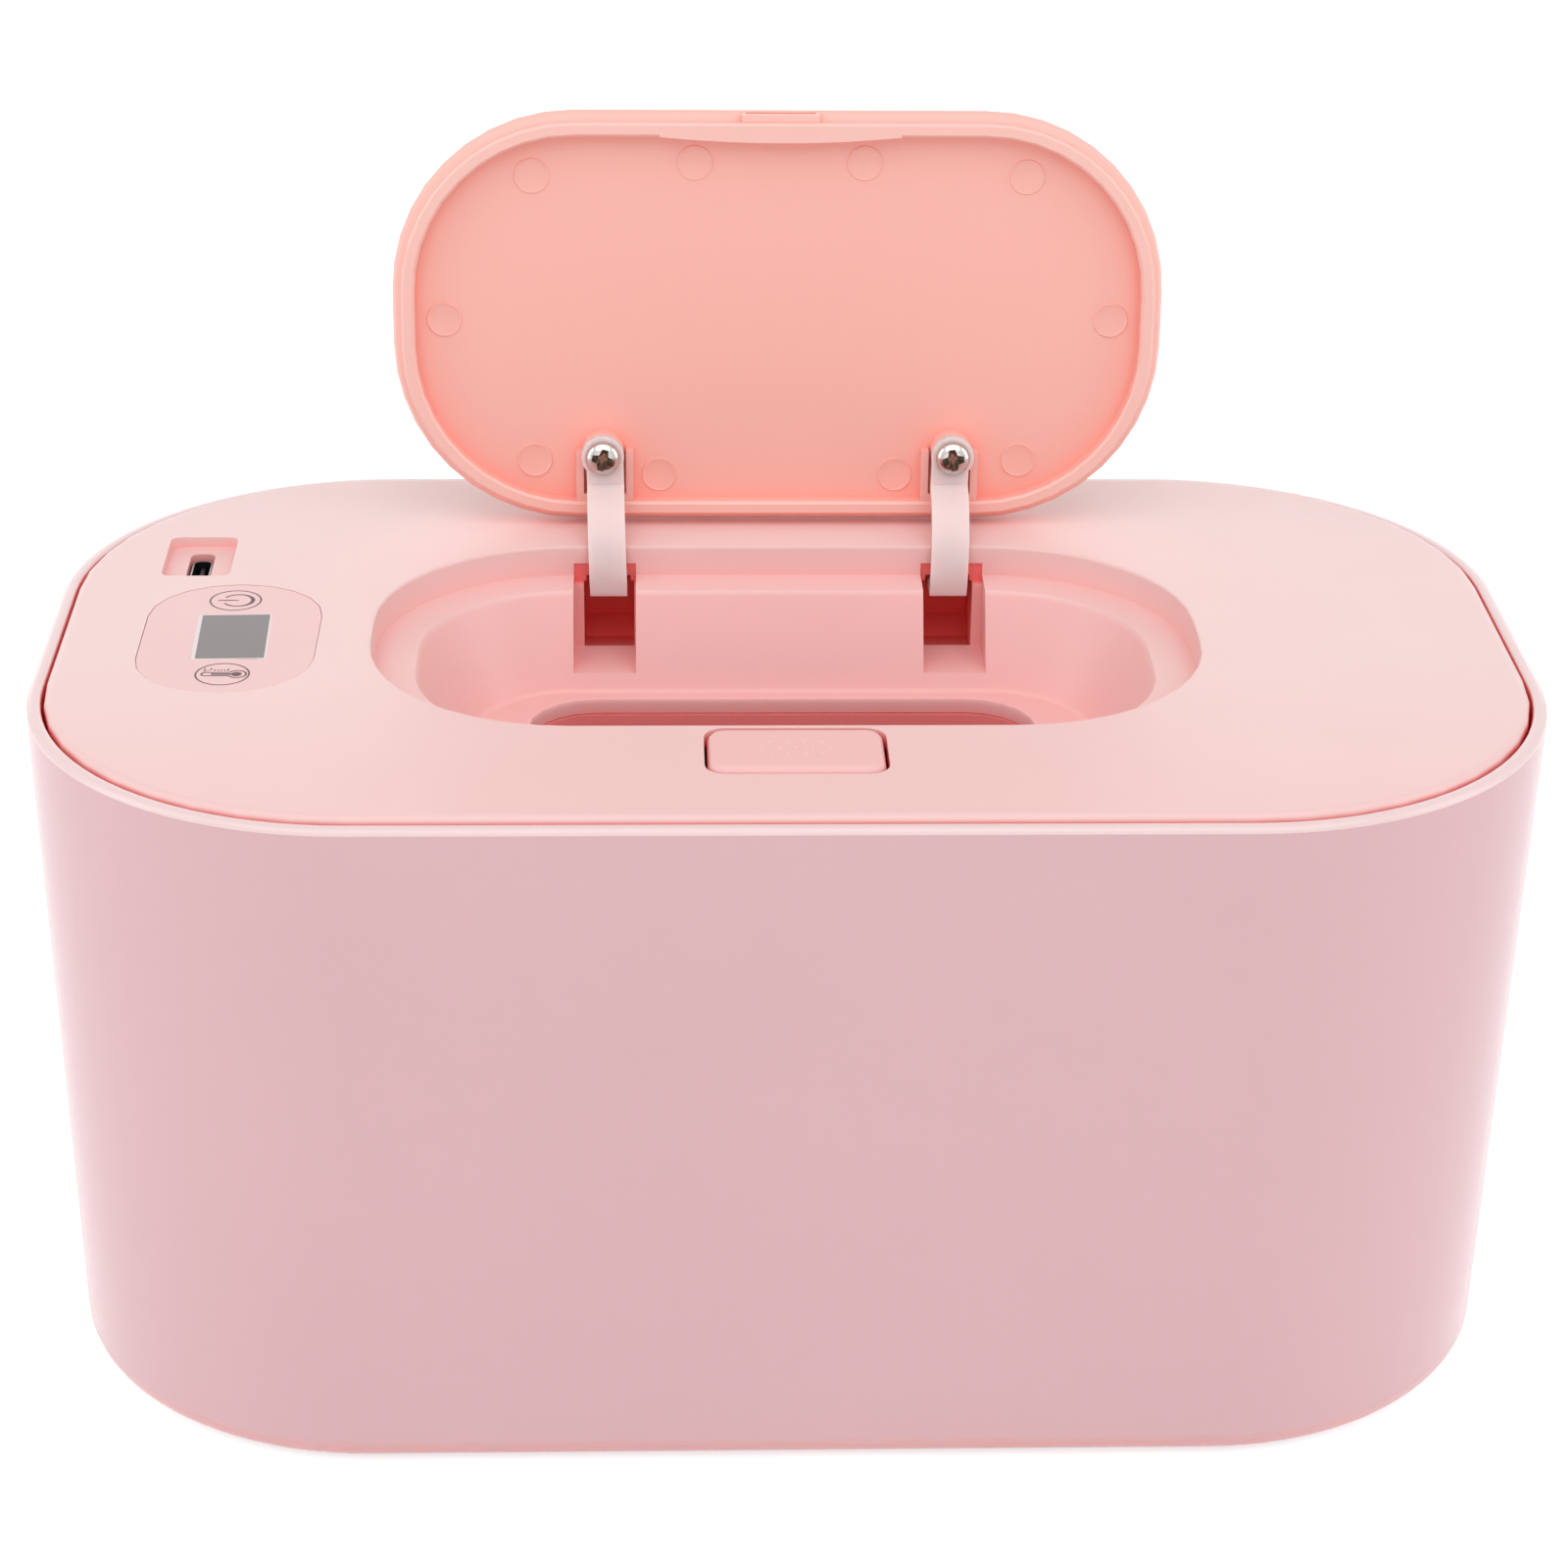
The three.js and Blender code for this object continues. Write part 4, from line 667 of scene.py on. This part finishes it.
def striped(name, base, line, roughness, pitch, distortion, direction="X"):
    """A flat sheet that carries a pattern of tracks or ribs in a second colour."""
    material = moulded(name, base, roughness, 1200, 0.00002)
    new = material.node_tree.nodes.new
    link = material.node_tree.links.new
    surface = material.node_tree.nodes["Principled BSDF"]
    place = new("ShaderNodeTexCoord")
    tracks = new("ShaderNodeTexWave")
    tracks.bands_direction = direction
    tracks.inputs["Scale"].default_value = 1 / pitch / 3.2
    tracks.inputs["Distortion"].default_value = distortion
    tracks.inputs["Detail Scale"].default_value = 30
    edges = new("ShaderNodeValToRGB")
    edges.color_ramp.elements[0].position = 0.48
    edges.color_ramp.elements[0].color = (*base, 1)
    edges.color_ramp.elements[1].position = 0.54
    edges.color_ramp.elements[1].color = (*line, 1)
    link(place.outputs["Object"], tracks.inputs["Vector"])
    link(tracks.outputs["Fac"], edges.inputs["Fac"])
    link(edges.outputs["Color"], surface.inputs["Base Color"])
    return material


aluminium = metal("aluminium", (0.83, 0.84, 0.85), 0.3, 300, (1, 18, 1))
coat(aluminium, "heater_plate")
film_amber = striped("film_amber", paint(176, 104, 38), paint(214, 150, 84), 0.28, 5 * mm, 0.0)
coat(film_amber, "heating_film")
foam_grey = moulded("foam_grey", paint(122, 120, 118), 0.9, 2600, 0.0003)
coat(foam_grey, "insulation_ring")


# Control board: green glass-fibre board with its copper tracks under the lacquer. Two coil
# springs carry the touch keys, and three leads run down to the heating film and the sensor.
board_green = striped("board_green", paint(22, 82, 50), paint(48, 120, 76), 0.35, 2.2 * mm, 6.0, "Y")
coat(board_green, "control_board")
sensor_black = moulded("sensor_black", paint(34, 34, 36), 0.35, 1500, 0.00002)
coat(sensor_black, "thermal_sensor")
lead_red = moulded("lead_red", paint(176, 34, 30), 0.4, 1500, 0.00002)
coat(lead_red, "heater_lead_red")
lead_black = moulded("lead_black", paint(32, 32, 34), 0.4, 1500, 0.00002)
coat(lead_black, "heater_lead_black")
lead_white = moulded("lead_white", paint(226, 224, 218), 0.4, 1500, 0.00002)
coat(lead_white, "sensor_lead")
steel = metal("steel", (0.66, 0.65, 0.63), 0.24, 900, (1, 1, 12))
coat(steel, "touch_spring_power", "touch_spring_heat")


# Hinge pins and latch pin: short rods of ground steel. They are pressed into the cover, and
# the lid's arms and the button turn on them.
coat(steel, "hinge_pin_left", "hinge_pin_right", "latch_pin")


# Top cover: the satin plate with its recess, ledge, sloped well and dispensing opening, moulded
# in one piece with the skirt that drops inside the tub. Its face has a fine spark-eroded grain.
plate_top = 110.1 * mm
plate_edge = 3.3 * mm
skirt_edge = 6 * mm
ledge_drop = 5.3
well_drop = 19.8
chamber_side = 27.9 * mm
chamber_half = 6.4 * mm
chamber_front = 35.6 * mm
pocket_front = 28 * mm
pocket_drop = 4.6 * mm
open_face = 0.6
lintel_drop = 2.5
chamber_drop = 8
button_side = 14 * mm
button_front = -53 * mm
button_back = -36 * mm
panel_side = -72 * mm
panel_drop = 1.9
# How much painted shade the well's walls take, and how it fades towards the well's ends.
well_shade = 0.25
well_middle = 35
well_end_run = 25


def cover_shade_at(point):
    """Painted shade and glow: the well's walls take some of the deep colour, less towards its ends, and the
    fits and the hinge chambers, where shade falls, take the most.
    """
    drop = (plate_top - point.z) / mm
    if drop < open_face:
        return 0
    edge = inside_edge(point, tub_width, tub_depth, tub_corner)
    if edge < plate_edge:
        return (drop - 0.7) / 1.4
    if edge < skirt_edge:
        return inside_shade
    at_chamber = abs(abs(point.x) - chamber_side) < chamber_half and point.y > chamber_front
    if at_chamber and drop > lintel_drop:
        return 1 if drop > chamber_drop else 0.8
    if abs(point.x) < button_side and button_front < point.y < button_back:
        return (drop - 0.5) / 1.5
    if point.x < panel_side:
        return min(0.12, (drop - 0.4) * 0.2) if drop < panel_drop else fit_shade
    ends = min(1, max(0, (abs(point.x) / mm - well_middle) / well_end_run))
    if drop < ledge_drop:
        return (0.02 + 0.02 * drop) * (1 - 0.6 * ends)
    if drop < well_drop + 1:
        return well_shade - 0.1 * ends
    return min(1, well_shade + (drop - well_drop - 1) * 0.1)


def in_hinge_pocket(point):
    """The pockets for the hinge arms are cut with crisp corners."""
    at_pocket = abs(abs(point.x) - chamber_side) < chamber_half and point.y > pocket_front
    return at_pocket and plate_top - point.z > pocket_drop


# The cover takes painted shade and glow in its well, fits, button opening and chambers, a painted crease
# shade in its corners and a little painted shade towards its front edge.
cover_pink = moulded("cover_pink", paint(242, 211, 208), 0.42, 1500, 0.00003, deep=painted_shade_red,
                     painted_crease_shade=(paint(255, 132, 122), 0.28), front=0.08)
dressed("top_cover", "cover", cover_pink, rule=cover_shade_at, crisp=in_hinge_pocket)


# Screws: zinc-plated pan heads with a cross recess. Two hold the arms to the lid, seven go up
# through the under cover and three hold the board.
screw_sides = 32
screw_shank = 1.4 * mm
cross_share = 0.7
cross_slot_share = 0.19
cross_web_share = 0.3
cross_mouth_share = 0.1
cross_floor_share = 0.8
cover_screw_head = 2.7 * mm
cover_screw_rise = 1.5 * mm
cover_screw_length = 8.5 * mm
arm_screw_head = 2.85 * mm
arm_screw_rise = 1.9 * mm
arm_screw_length = 5.6 * mm


def outward(mesh):
    """Turns a closed mesh's faces outwards."""
    form = bmesh.new()
    form.from_mesh(mesh)
    bmesh.ops.recalc_face_normals(form, faces=form.faces)
    form.to_mesh(mesh)
    form.free()
    return mesh


def turned(name, profile, sides):
    """A lathe form about Z from (radius, height) points; a radius of nothing closes an end."""
    verts = []
    loops = []
    for radius, height in profile:
        if radius == 0:
            loops.append([len(verts)] * sides)
            verts.append((0, 0, height))
            continue
        loops.append(list(range(len(verts), len(verts) + sides)))
        for i in range(sides):
            angle = 2 * math.pi * i / sides
            verts.append((radius * math.cos(angle), radius * math.sin(angle), height))
    faces = []
    for low, high in zip(loops, loops[1:]):
        for i in range(sides):
            corners = [low[i], low[(i + 1) % sides], high[(i + 1) % sides], high[i]]
            faces.append(list(dict.fromkeys(corners)))
    mesh = bpy.data.meshes.new(name)
    mesh.from_pydata(verts, [], faces)
    return outward(mesh)


def pan_screw(head, head_height, length):
    """A screw whose head hangs below its seat, drawn at the origin with its shank up."""
    shank = screw_shank
    dome = []
    dome_steps = 7
    for step in range(dome_steps + 1):
        turn = step / dome_steps * math.pi / 2
        dome.append((head * math.sin(turn) ** 0.8, -head_height * (0.22 + 0.78 * math.cos(turn))))
    profile = [
        *dome, (head * 0.985, 0), (shank, 0), (shank, length - shank), (shank * 0.4, length), (0, length)]
    blank = turned("screw_blank", profile, screw_sides)
    long = head * cross_share
    short = head * cross_slot_share
    web = head * cross_web_share
    plus = [(long, short), (web, web), (short, long)]
    outline = [(x * math.cos(turn) - y * math.sin(turn), x * math.sin(turn) + y * math.cos(turn))
               for turn in (0, math.pi / 2, math.pi, math.pi * 1.5) for x, y in plus]
    levels = [(-1.3, 1.0), (-cross_floor_share, 0.9), (-0.2, 0.4)]
    verts = [(x * share, y * share, head_height * height) for height, share in levels for x, y in outline]
    count = len(outline)
    faces = [list(range(count)), list(range(2 * count, 3 * count))]
    for level in range(len(levels) - 1):
        for i in range(count):
            low, high = level * count, (level + 1) * count
            faces.append([low + i, low + (i + 1) % count, high + (i + 1) % count, high + i])
    cross = bpy.data.meshes.new("cross")
    cross.from_pydata(verts, [], faces)

    def recess_shade_at(point):
        """One down in the recess, darkened there as painted shade, and nothing on the rest."""
        at_recess = -cross_floor_share * head_height < point.z < -cross_mouth_share * head_height
        return 1.0 if at_recess and math.hypot(point.x, point.y) < long else 0.0

    return deepened(carved(blank, outward(cross)), recess_shade_at)


# The dark brown in the screws' cross recesses is painted shade.
screw_steel = metal("screw_steel", (0.56, 0.53, 0.51), 0.2, 700, (1, 1, 1), deep=(0.3, 0.24, 0.18))
upright = (0, 0, 0)
cover_screw_names = [f"cover_screw_{i}" for i in range(1, 8)]
cover_screw_places = []
for screw_name in cover_screw_names:
    low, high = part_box(screw_name)
    seat = Vector(((low.x + high.x) / 2, (low.y + high.y) / 2, low.z + cover_screw_rise))
    cover_screw_places.append((seat, upright))
cover_screw = pan_screw(cover_screw_head, cover_screw_rise, cover_screw_length)
cover_screws = set_out_mesh(cover_screw, cover_screw_places, screw_steel)
piece("cover_screws", smoothed(cover_screws), "cover", cover_screw_names)

board_screw_names = [f"board_screw_{i}" for i in range(1, 4)]
coat(screw_steel, *board_screw_names)

lid_hinge = Vector((0, 41.78, 103.2)) * mm
lid_turn = math.radians(-94)
arm_screw_seat = (28.9, 22.35, 103.5)


def lid_attitude(spin=0.0):
    """How a thing that hangs from the shut lid is turned when it is open, after its own spin."""
    turn = Matrix.Rotation(lid_turn, 3, "X") @ Matrix.Rotation(math.radians(spin), 3, "Z")
    return tuple(turn.to_euler())


def opened(x, y, z):
    """Where a point of the shut lid, in millimetres, stands when the lid is open."""
    return lid_hinge + Matrix.Rotation(lid_turn, 3, "X") @ (Vector((x, y, z)) * mm - lid_hinge)


arm_screw_places = []
for side, spin in ((-1, 14), (1, -9)):
    seat = opened(side * arm_screw_seat[0], *arm_screw_seat[1:])
    arm_screw_places.append((seat, lid_attitude(spin)))
arm_screw = pan_screw(arm_screw_head, arm_screw_rise, arm_screw_length)
arm_screws = set_out_mesh(arm_screw, arm_screw_places, screw_steel)
piece("arm_screws", smoothed(arm_screws), "lid", ["arm_screw_left", "arm_screw_right"])


# Control panel: a printed film, deeper pink, inlaid in the cover, with a window over the grey
# display. The display's case stands on the board under it.
panel_pink = moulded("panel_pink", paint(237, 197, 195), 0.35, 1800, 0.00001)
label = dressed("panel_label", "cover", panel_pink, 0.08 * mm)
label_low, label_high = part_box("panel_label")
label_middle = (label_low + label_high) / 2
label_grow = 0.12 * mm
label_inner_x = 6 * mm
label_inner_y = 10 * mm
for vert in label.data.vertices:
    reach = vert.co - label_middle
    if abs(reach.x) > label_inner_x or abs(reach.y) > label_inner_y:
        vert.co.x += label_grow * reach.x / (label_high.x - label_middle.x)
        vert.co.y += label_grow * reach.y / (label_high.y - label_middle.y)
display_grey = moulded("display_grey", paint(113, 108, 107), 0.3, 2200, 0.00001)
coat(display_grey, "display_glass")
display_white = moulded("display_white", paint(233, 233, 228), 0.5, 1500, 0.00002)
coat(display_white, "display_body")

ink_layer = 0.012 * mm
ink_brown = moulded("ink_brown", paint(96, 66, 70), 0.5, 2500, 0.00001)
window_turn = math.radians(1.6)
window_middle = Vector((-85.85, -2, 0)) * mm
window_white = moulded("window_white", paint(236, 222, 221), 0.5, 2500, 0.00001)


def ribbon(form, points, widths, closed):
    """Lays a line of ink, as wide at each point as its width there."""
    rails = []
    count = len(points)
    for i, (x, y) in enumerate(points):
        back = points[i - 1] if closed or i else points[i]
        front = points[(i + 1) % count] if closed or i + 1 < count else points[i]
        run = Vector((front[0] - back[0], front[1] - back[1])).normalized()
        half = widths[i] / 2
        rails.append([form.verts.new(((x + side * -run.y * half) * mm, (y + side * run.x * half) * mm, 0))
                      for side in (1, -1)])
    for i in range(count if closed else count - 1):
        left, right = rails[i], rails[(i + 1) % count]
        form.faces.new([left[0], left[1], right[1], right[0]])


def arc(x, y, radius, start, end, steps):
    """Points round part of a circle, its angles counted in degrees from the right."""
    angles = [math.radians(start + (end - start) * step / steps) for step in range(steps + 1)]
    return [(x + radius * math.cos(angle), y + radius * math.sin(angle)) for angle in angles]


def printed(name, lines, fills, material, askew=0.0, layers=2):
    """Ink on the panel film: lines as (points, widths, closed) and filled outlines, in layers."""
    form = bmesh.new()
    for points, widths, closed in lines:
        ribbon(form, points, widths, closed)
    for points in fills:
        form.faces.new([form.verts.new((x * mm, y * mm, 0)) for x, y in points])
    bmesh.ops.recalc_face_normals(form, faces=form.faces)
    flipped = [face for face in form.faces if face.normal.z < 0]
    bmesh.ops.reverse_faces(form, faces=flipped)
    grown = bmesh.ops.extrude_face_region(form, geom=form.faces[:], use_keep_orig=True)
    lifted = [item for item in grown["geom"] if isinstance(item, bmesh.types.BMVert)]
    bmesh.ops.translate(form, verts=lifted, vec=(0, 0, layers * ink_layer))
    bmesh.ops.recalc_face_normals(form, faces=form.faces)
    bmesh.ops.translate(form, verts=form.verts, vec=(0, 0, label_high.z - ink_layer))
    bmesh.ops.rotate(form, verts=form.verts, cent=window_middle, matrix=Matrix.Rotation(askew, 3, "Z"))
    mesh = bpy.data.meshes.new(name)
    form.to_mesh(mesh)
    form.free()
    mesh.materials.append(material)
    return piece(name, mesh, "cover")


def even(points, width):
    """The same width all along a line."""
    return [width] * len(points)


def ring(x, y, radius, steps):
    """Points once round a circle, without the first one again."""
    return arc(x, y, radius, 0, 360 - 360 // steps, steps - 1)


# The signs are in millimetres. Power: a ring round a bow that is open on the left, where the
# stem comes in. The bow's line swells towards the right.
sign_line = 0.28
sign_steps = 40
power_x, power_y = -86.8, 12.5
power_radius = 4.0
bow_x = power_x + 0.4
bow_radius = 2.35
bow_half_turn = 150
bow_line = 0.34
bow_swell = 0.3
power_ring = ring(power_x, power_y, power_radius, sign_steps)
power_bow = arc(bow_x, power_y, bow_radius, -bow_half_turn, bow_half_turn, sign_steps)
power_bow_widths = []
for step in range(sign_steps + 1):
    angle = math.radians(2 * bow_half_turn * step / sign_steps - bow_half_turn)
    power_bow_widths.append(bow_line + bow_swell * max(0.0, math.cos(angle)) ** 2)
power_stem = [(power_x - 2.8, power_y), (power_x - 1.1, power_y), (power_x + 0.5, power_y)]
printed("power_sign", [
    (power_ring, even(power_ring, sign_line), True),
    (power_bow, power_bow_widths, False),
    (power_stem, [sign_line, 0.38, sign_line], False)], [], ink_brown)

# Heat: a thermometer that lies in its ring with the bulb to the right, five ticks behind its
# tube, and a small degree sign and C at its end.
heat_x, heat_y = -86.1, -16.6
heat_radius = 4.05
tube_x = heat_x - 2.55
tube_half = 0.62
bulb_x = heat_x + 2.25
bulb_radius = 1.35
glass_line_width = 0.3
fill_x = heat_x - 1.7
fill_half = 0.28
fill_bulb_radius = 0.8
tick_count = 5
tick_pitch = 0.5
tick_foot = 1.2
tick_line = 0.2
heat_ring = ring(heat_x, heat_y, heat_radius, sign_steps)
glass_line = arc(tube_x, heat_y, tube_half, 90, 270, 12)
glass_line += arc(bulb_x, heat_y, bulb_radius, -153, 153, 24)
fill_line = [(fill_x, heat_y + fill_half), (fill_x, heat_y - fill_half)]
fill_line += arc(bulb_x - 0.1, heat_y, fill_bulb_radius, -160, 160, 20)
heat_lines = [
    (heat_ring, even(heat_ring, sign_line), True),
    (glass_line, even(glass_line, glass_line_width), True)]
for i in range(tick_count):
    tick_x = heat_x - 1.25 + tick_pitch * i
    tick_top = 1.75 if i < tick_count - 1 else 2.1
    tick = [(tick_x, heat_y + tick_foot), (tick_x, heat_y + tick_top)]
    heat_lines.append((tick, even(tick, tick_line), False))
degree_ring = ring(heat_x - 2.85, heat_y + 1.15, 0.17, 10)
celsius_bow = arc(heat_x - 2.3, heat_y + 1.9, 0.55, 130, 410, 20)
heat_lines += [(degree_ring, even(degree_ring, 0.1), True), (celsius_bow, even(celsius_bow, 0.16), False)]
printed("heat_sign", heat_lines, [fill_line], ink_brown)

# The window: a grey film on a slightly larger pale backing, which shows as a thin line round it.
window_left, window_right = -91.1, -80.6
window_front, window_back = -10.55, 6.55
backing_margin = 0.35
backing_left_margin = 0.65
backing_layers = 1.5
film_layers = 3


def window_corners(margin, left_margin):
    """The corners of the display's window, let out by a margin."""
    left, right = window_left - left_margin, window_right + margin
    front, back = window_front - margin, window_back + margin
    return [(left, front), (right, front), (right, back), (left, back)]


backing = window_corners(backing_margin, backing_left_margin)
printed("window_line", [], [backing], window_white, askew=window_turn, layers=backing_layers)
printed("window_film", [], [window_corners(0, 0)], display_grey, askew=window_turn, layers=film_layers)


# Power socket: a black insert with its tongue in a rounded steel shell. It stands on the board
# with its mouth up in the cover's pocket, and only the shell's lip shows bright.
socket_shell = metal("socket_shell", (0.4, 0.37, 0.35), 0.3, 900, (1, 1, 8))
socket_black = moulded("socket_black", paint(18, 16, 16), 0.4, 1500, 0.00002)
socket_edge = 0.04 * mm
socket_lip = 0.06 * mm
socket = dressed("power_socket", "cover", socket_shell, socket_edge)
socket.data.materials.append(socket_black)
socket_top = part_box("power_socket")[1].z
# The insert and tongue are black plastic; the shell's walls below its lip take the black too, as painted
# shade inside the mouth.
for face in socket.data.polygons:
    if face.center.z < socket_top - socket_lip or face.normal.z < 0.5:
        face.material_index = 1


# Lid: a shallow oval moulding, here standing open and seen from inside, with a raised ring that
# stiffens it, screw bosses, locating ribs and the faint rounds that the ejector pins leave.
lid_inside = 108.7
lid_fade = 1.2
mark_radius = 2.9 * mm
mark_root = 0.3 * mm
mark_lip = 0.18 * mm
mark_sides = 32


def shut(point):
    """Where a point of the open lid lies when the lid is shut."""
    return lid_hinge + Matrix.Rotation(-lid_turn, 3, "X") @ (point - lid_hinge)


def lid_shade_at(point):
    """Painted light: the lid's flat takes the deep colour fully as painted glow, and the raised ring and
    rim are paler as painted highlight.
    """
    return 1 - abs(shut(point).z / mm - lid_inside) / lid_fade


# The lid's pink is more saturated than the cover's: painted glow for light bounced from the plate and
# passing through the lid, with painted crease shade in its corners.
lid_pink = moulded("lid_pink", paint(249, 199, 189), 0.36, 1600, 0.00003,
                   deep=paint(251, 189, 177), painted_crease_shade=(paint(254, 138, 118), 0.5))
mark_form = turned("pin_mark", [
    (0, mark_root), (mark_radius, mark_root), (mark_radius, 0),
    (mark_radius - mark_lip / 2, -mark_lip), (mark_radius - 2 * mark_lip, -mark_lip),
    (mark_radius - 3 * mark_lip, -mark_lip / 4), (0, -mark_lip / 4)], mark_sides)
mark_spots = [(40.2, -23.5), (13.8, -25.7), (54.7, 0.3), (40.2, 24.2), (19.6, 26.7)]
mark_places = []
for x, y in mark_spots:
    for side in (-1, 1):
        mark_places.append((opened(side * x, y, lid_inside), lid_attitude()))
pin_marks = set_out_mesh(mark_form, mark_places, lid_pink)
lid_mesh = moulded_shape(carved(whole_copy("lid"), pin_marks, "UNION"))
lid_mesh.materials.clear()
lid_mesh.materials.append(lid_pink)
piece("lid_piece", deepened(lid_mesh, lid_shade_at), "lid", ["lid"])


# Hinge arms: two gooseneck straps in a paler, slightly milky plastic, screwed to the lid's
# bosses and turning on their pins inside the pockets.
arm_plastic = moulded("arm_plastic", paint(237, 217, 216), 0.35, 1600, 0.00003, glow=0.8)
for arm_name in ("hinge_arm_left", "hinge_arm_right"):
    dressed(arm_name, "lid", arm_plastic)


# Latch button: a separate rocking pad in front of the lid, with its hook moulded on below and
# thirteen raised dots for the thumb. A coil spring sits under the pad, at one length here.
pad_shade = 0.1
pad_side_drop = 0.8 * mm


def button_shade_at(point):
    """Painted shade: the pad takes a little of the deep colour, and its sides take more as they go down
    into the gap.
    """
    return pad_shade + max(0, plate_top - pad_side_drop - point.z) / mm


dressed("latch_button", "button", cover_pink, rule=button_shade_at)
latch_spring = dressed("latch_spring", "cover", steel)
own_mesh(latch_spring)
dot_radius = 0.35 * mm
dot_height = 0.13 * mm
dot_pitch = 2.5 * mm
dot_row_pitch = 2.1 * mm
dot_sides = 12
pad_middle_y = -44.65 * mm
pad_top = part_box("latch_button")[1].z
dot_form = turned("grip_dot", [
    (0, -dot_height), (dot_radius, -dot_height), (dot_radius * 0.92, dot_height * 0.4),
    (dot_radius * 0.6, dot_height * 0.85), (0, dot_height)], dot_sides)
dot_places = []
for row, count in enumerate((4, 5, 4)):
    for i in range(count):
        dot_x = (i - (count - 1) / 2) * dot_pitch
        dot_y = pad_middle_y + (1 - row) * dot_row_pitch
        dot_places.append(((dot_x, dot_y, pad_top), upright))
piece("grip_dots", smoothed(set_out_mesh(dot_form, dot_places, cover_pink)), "button")
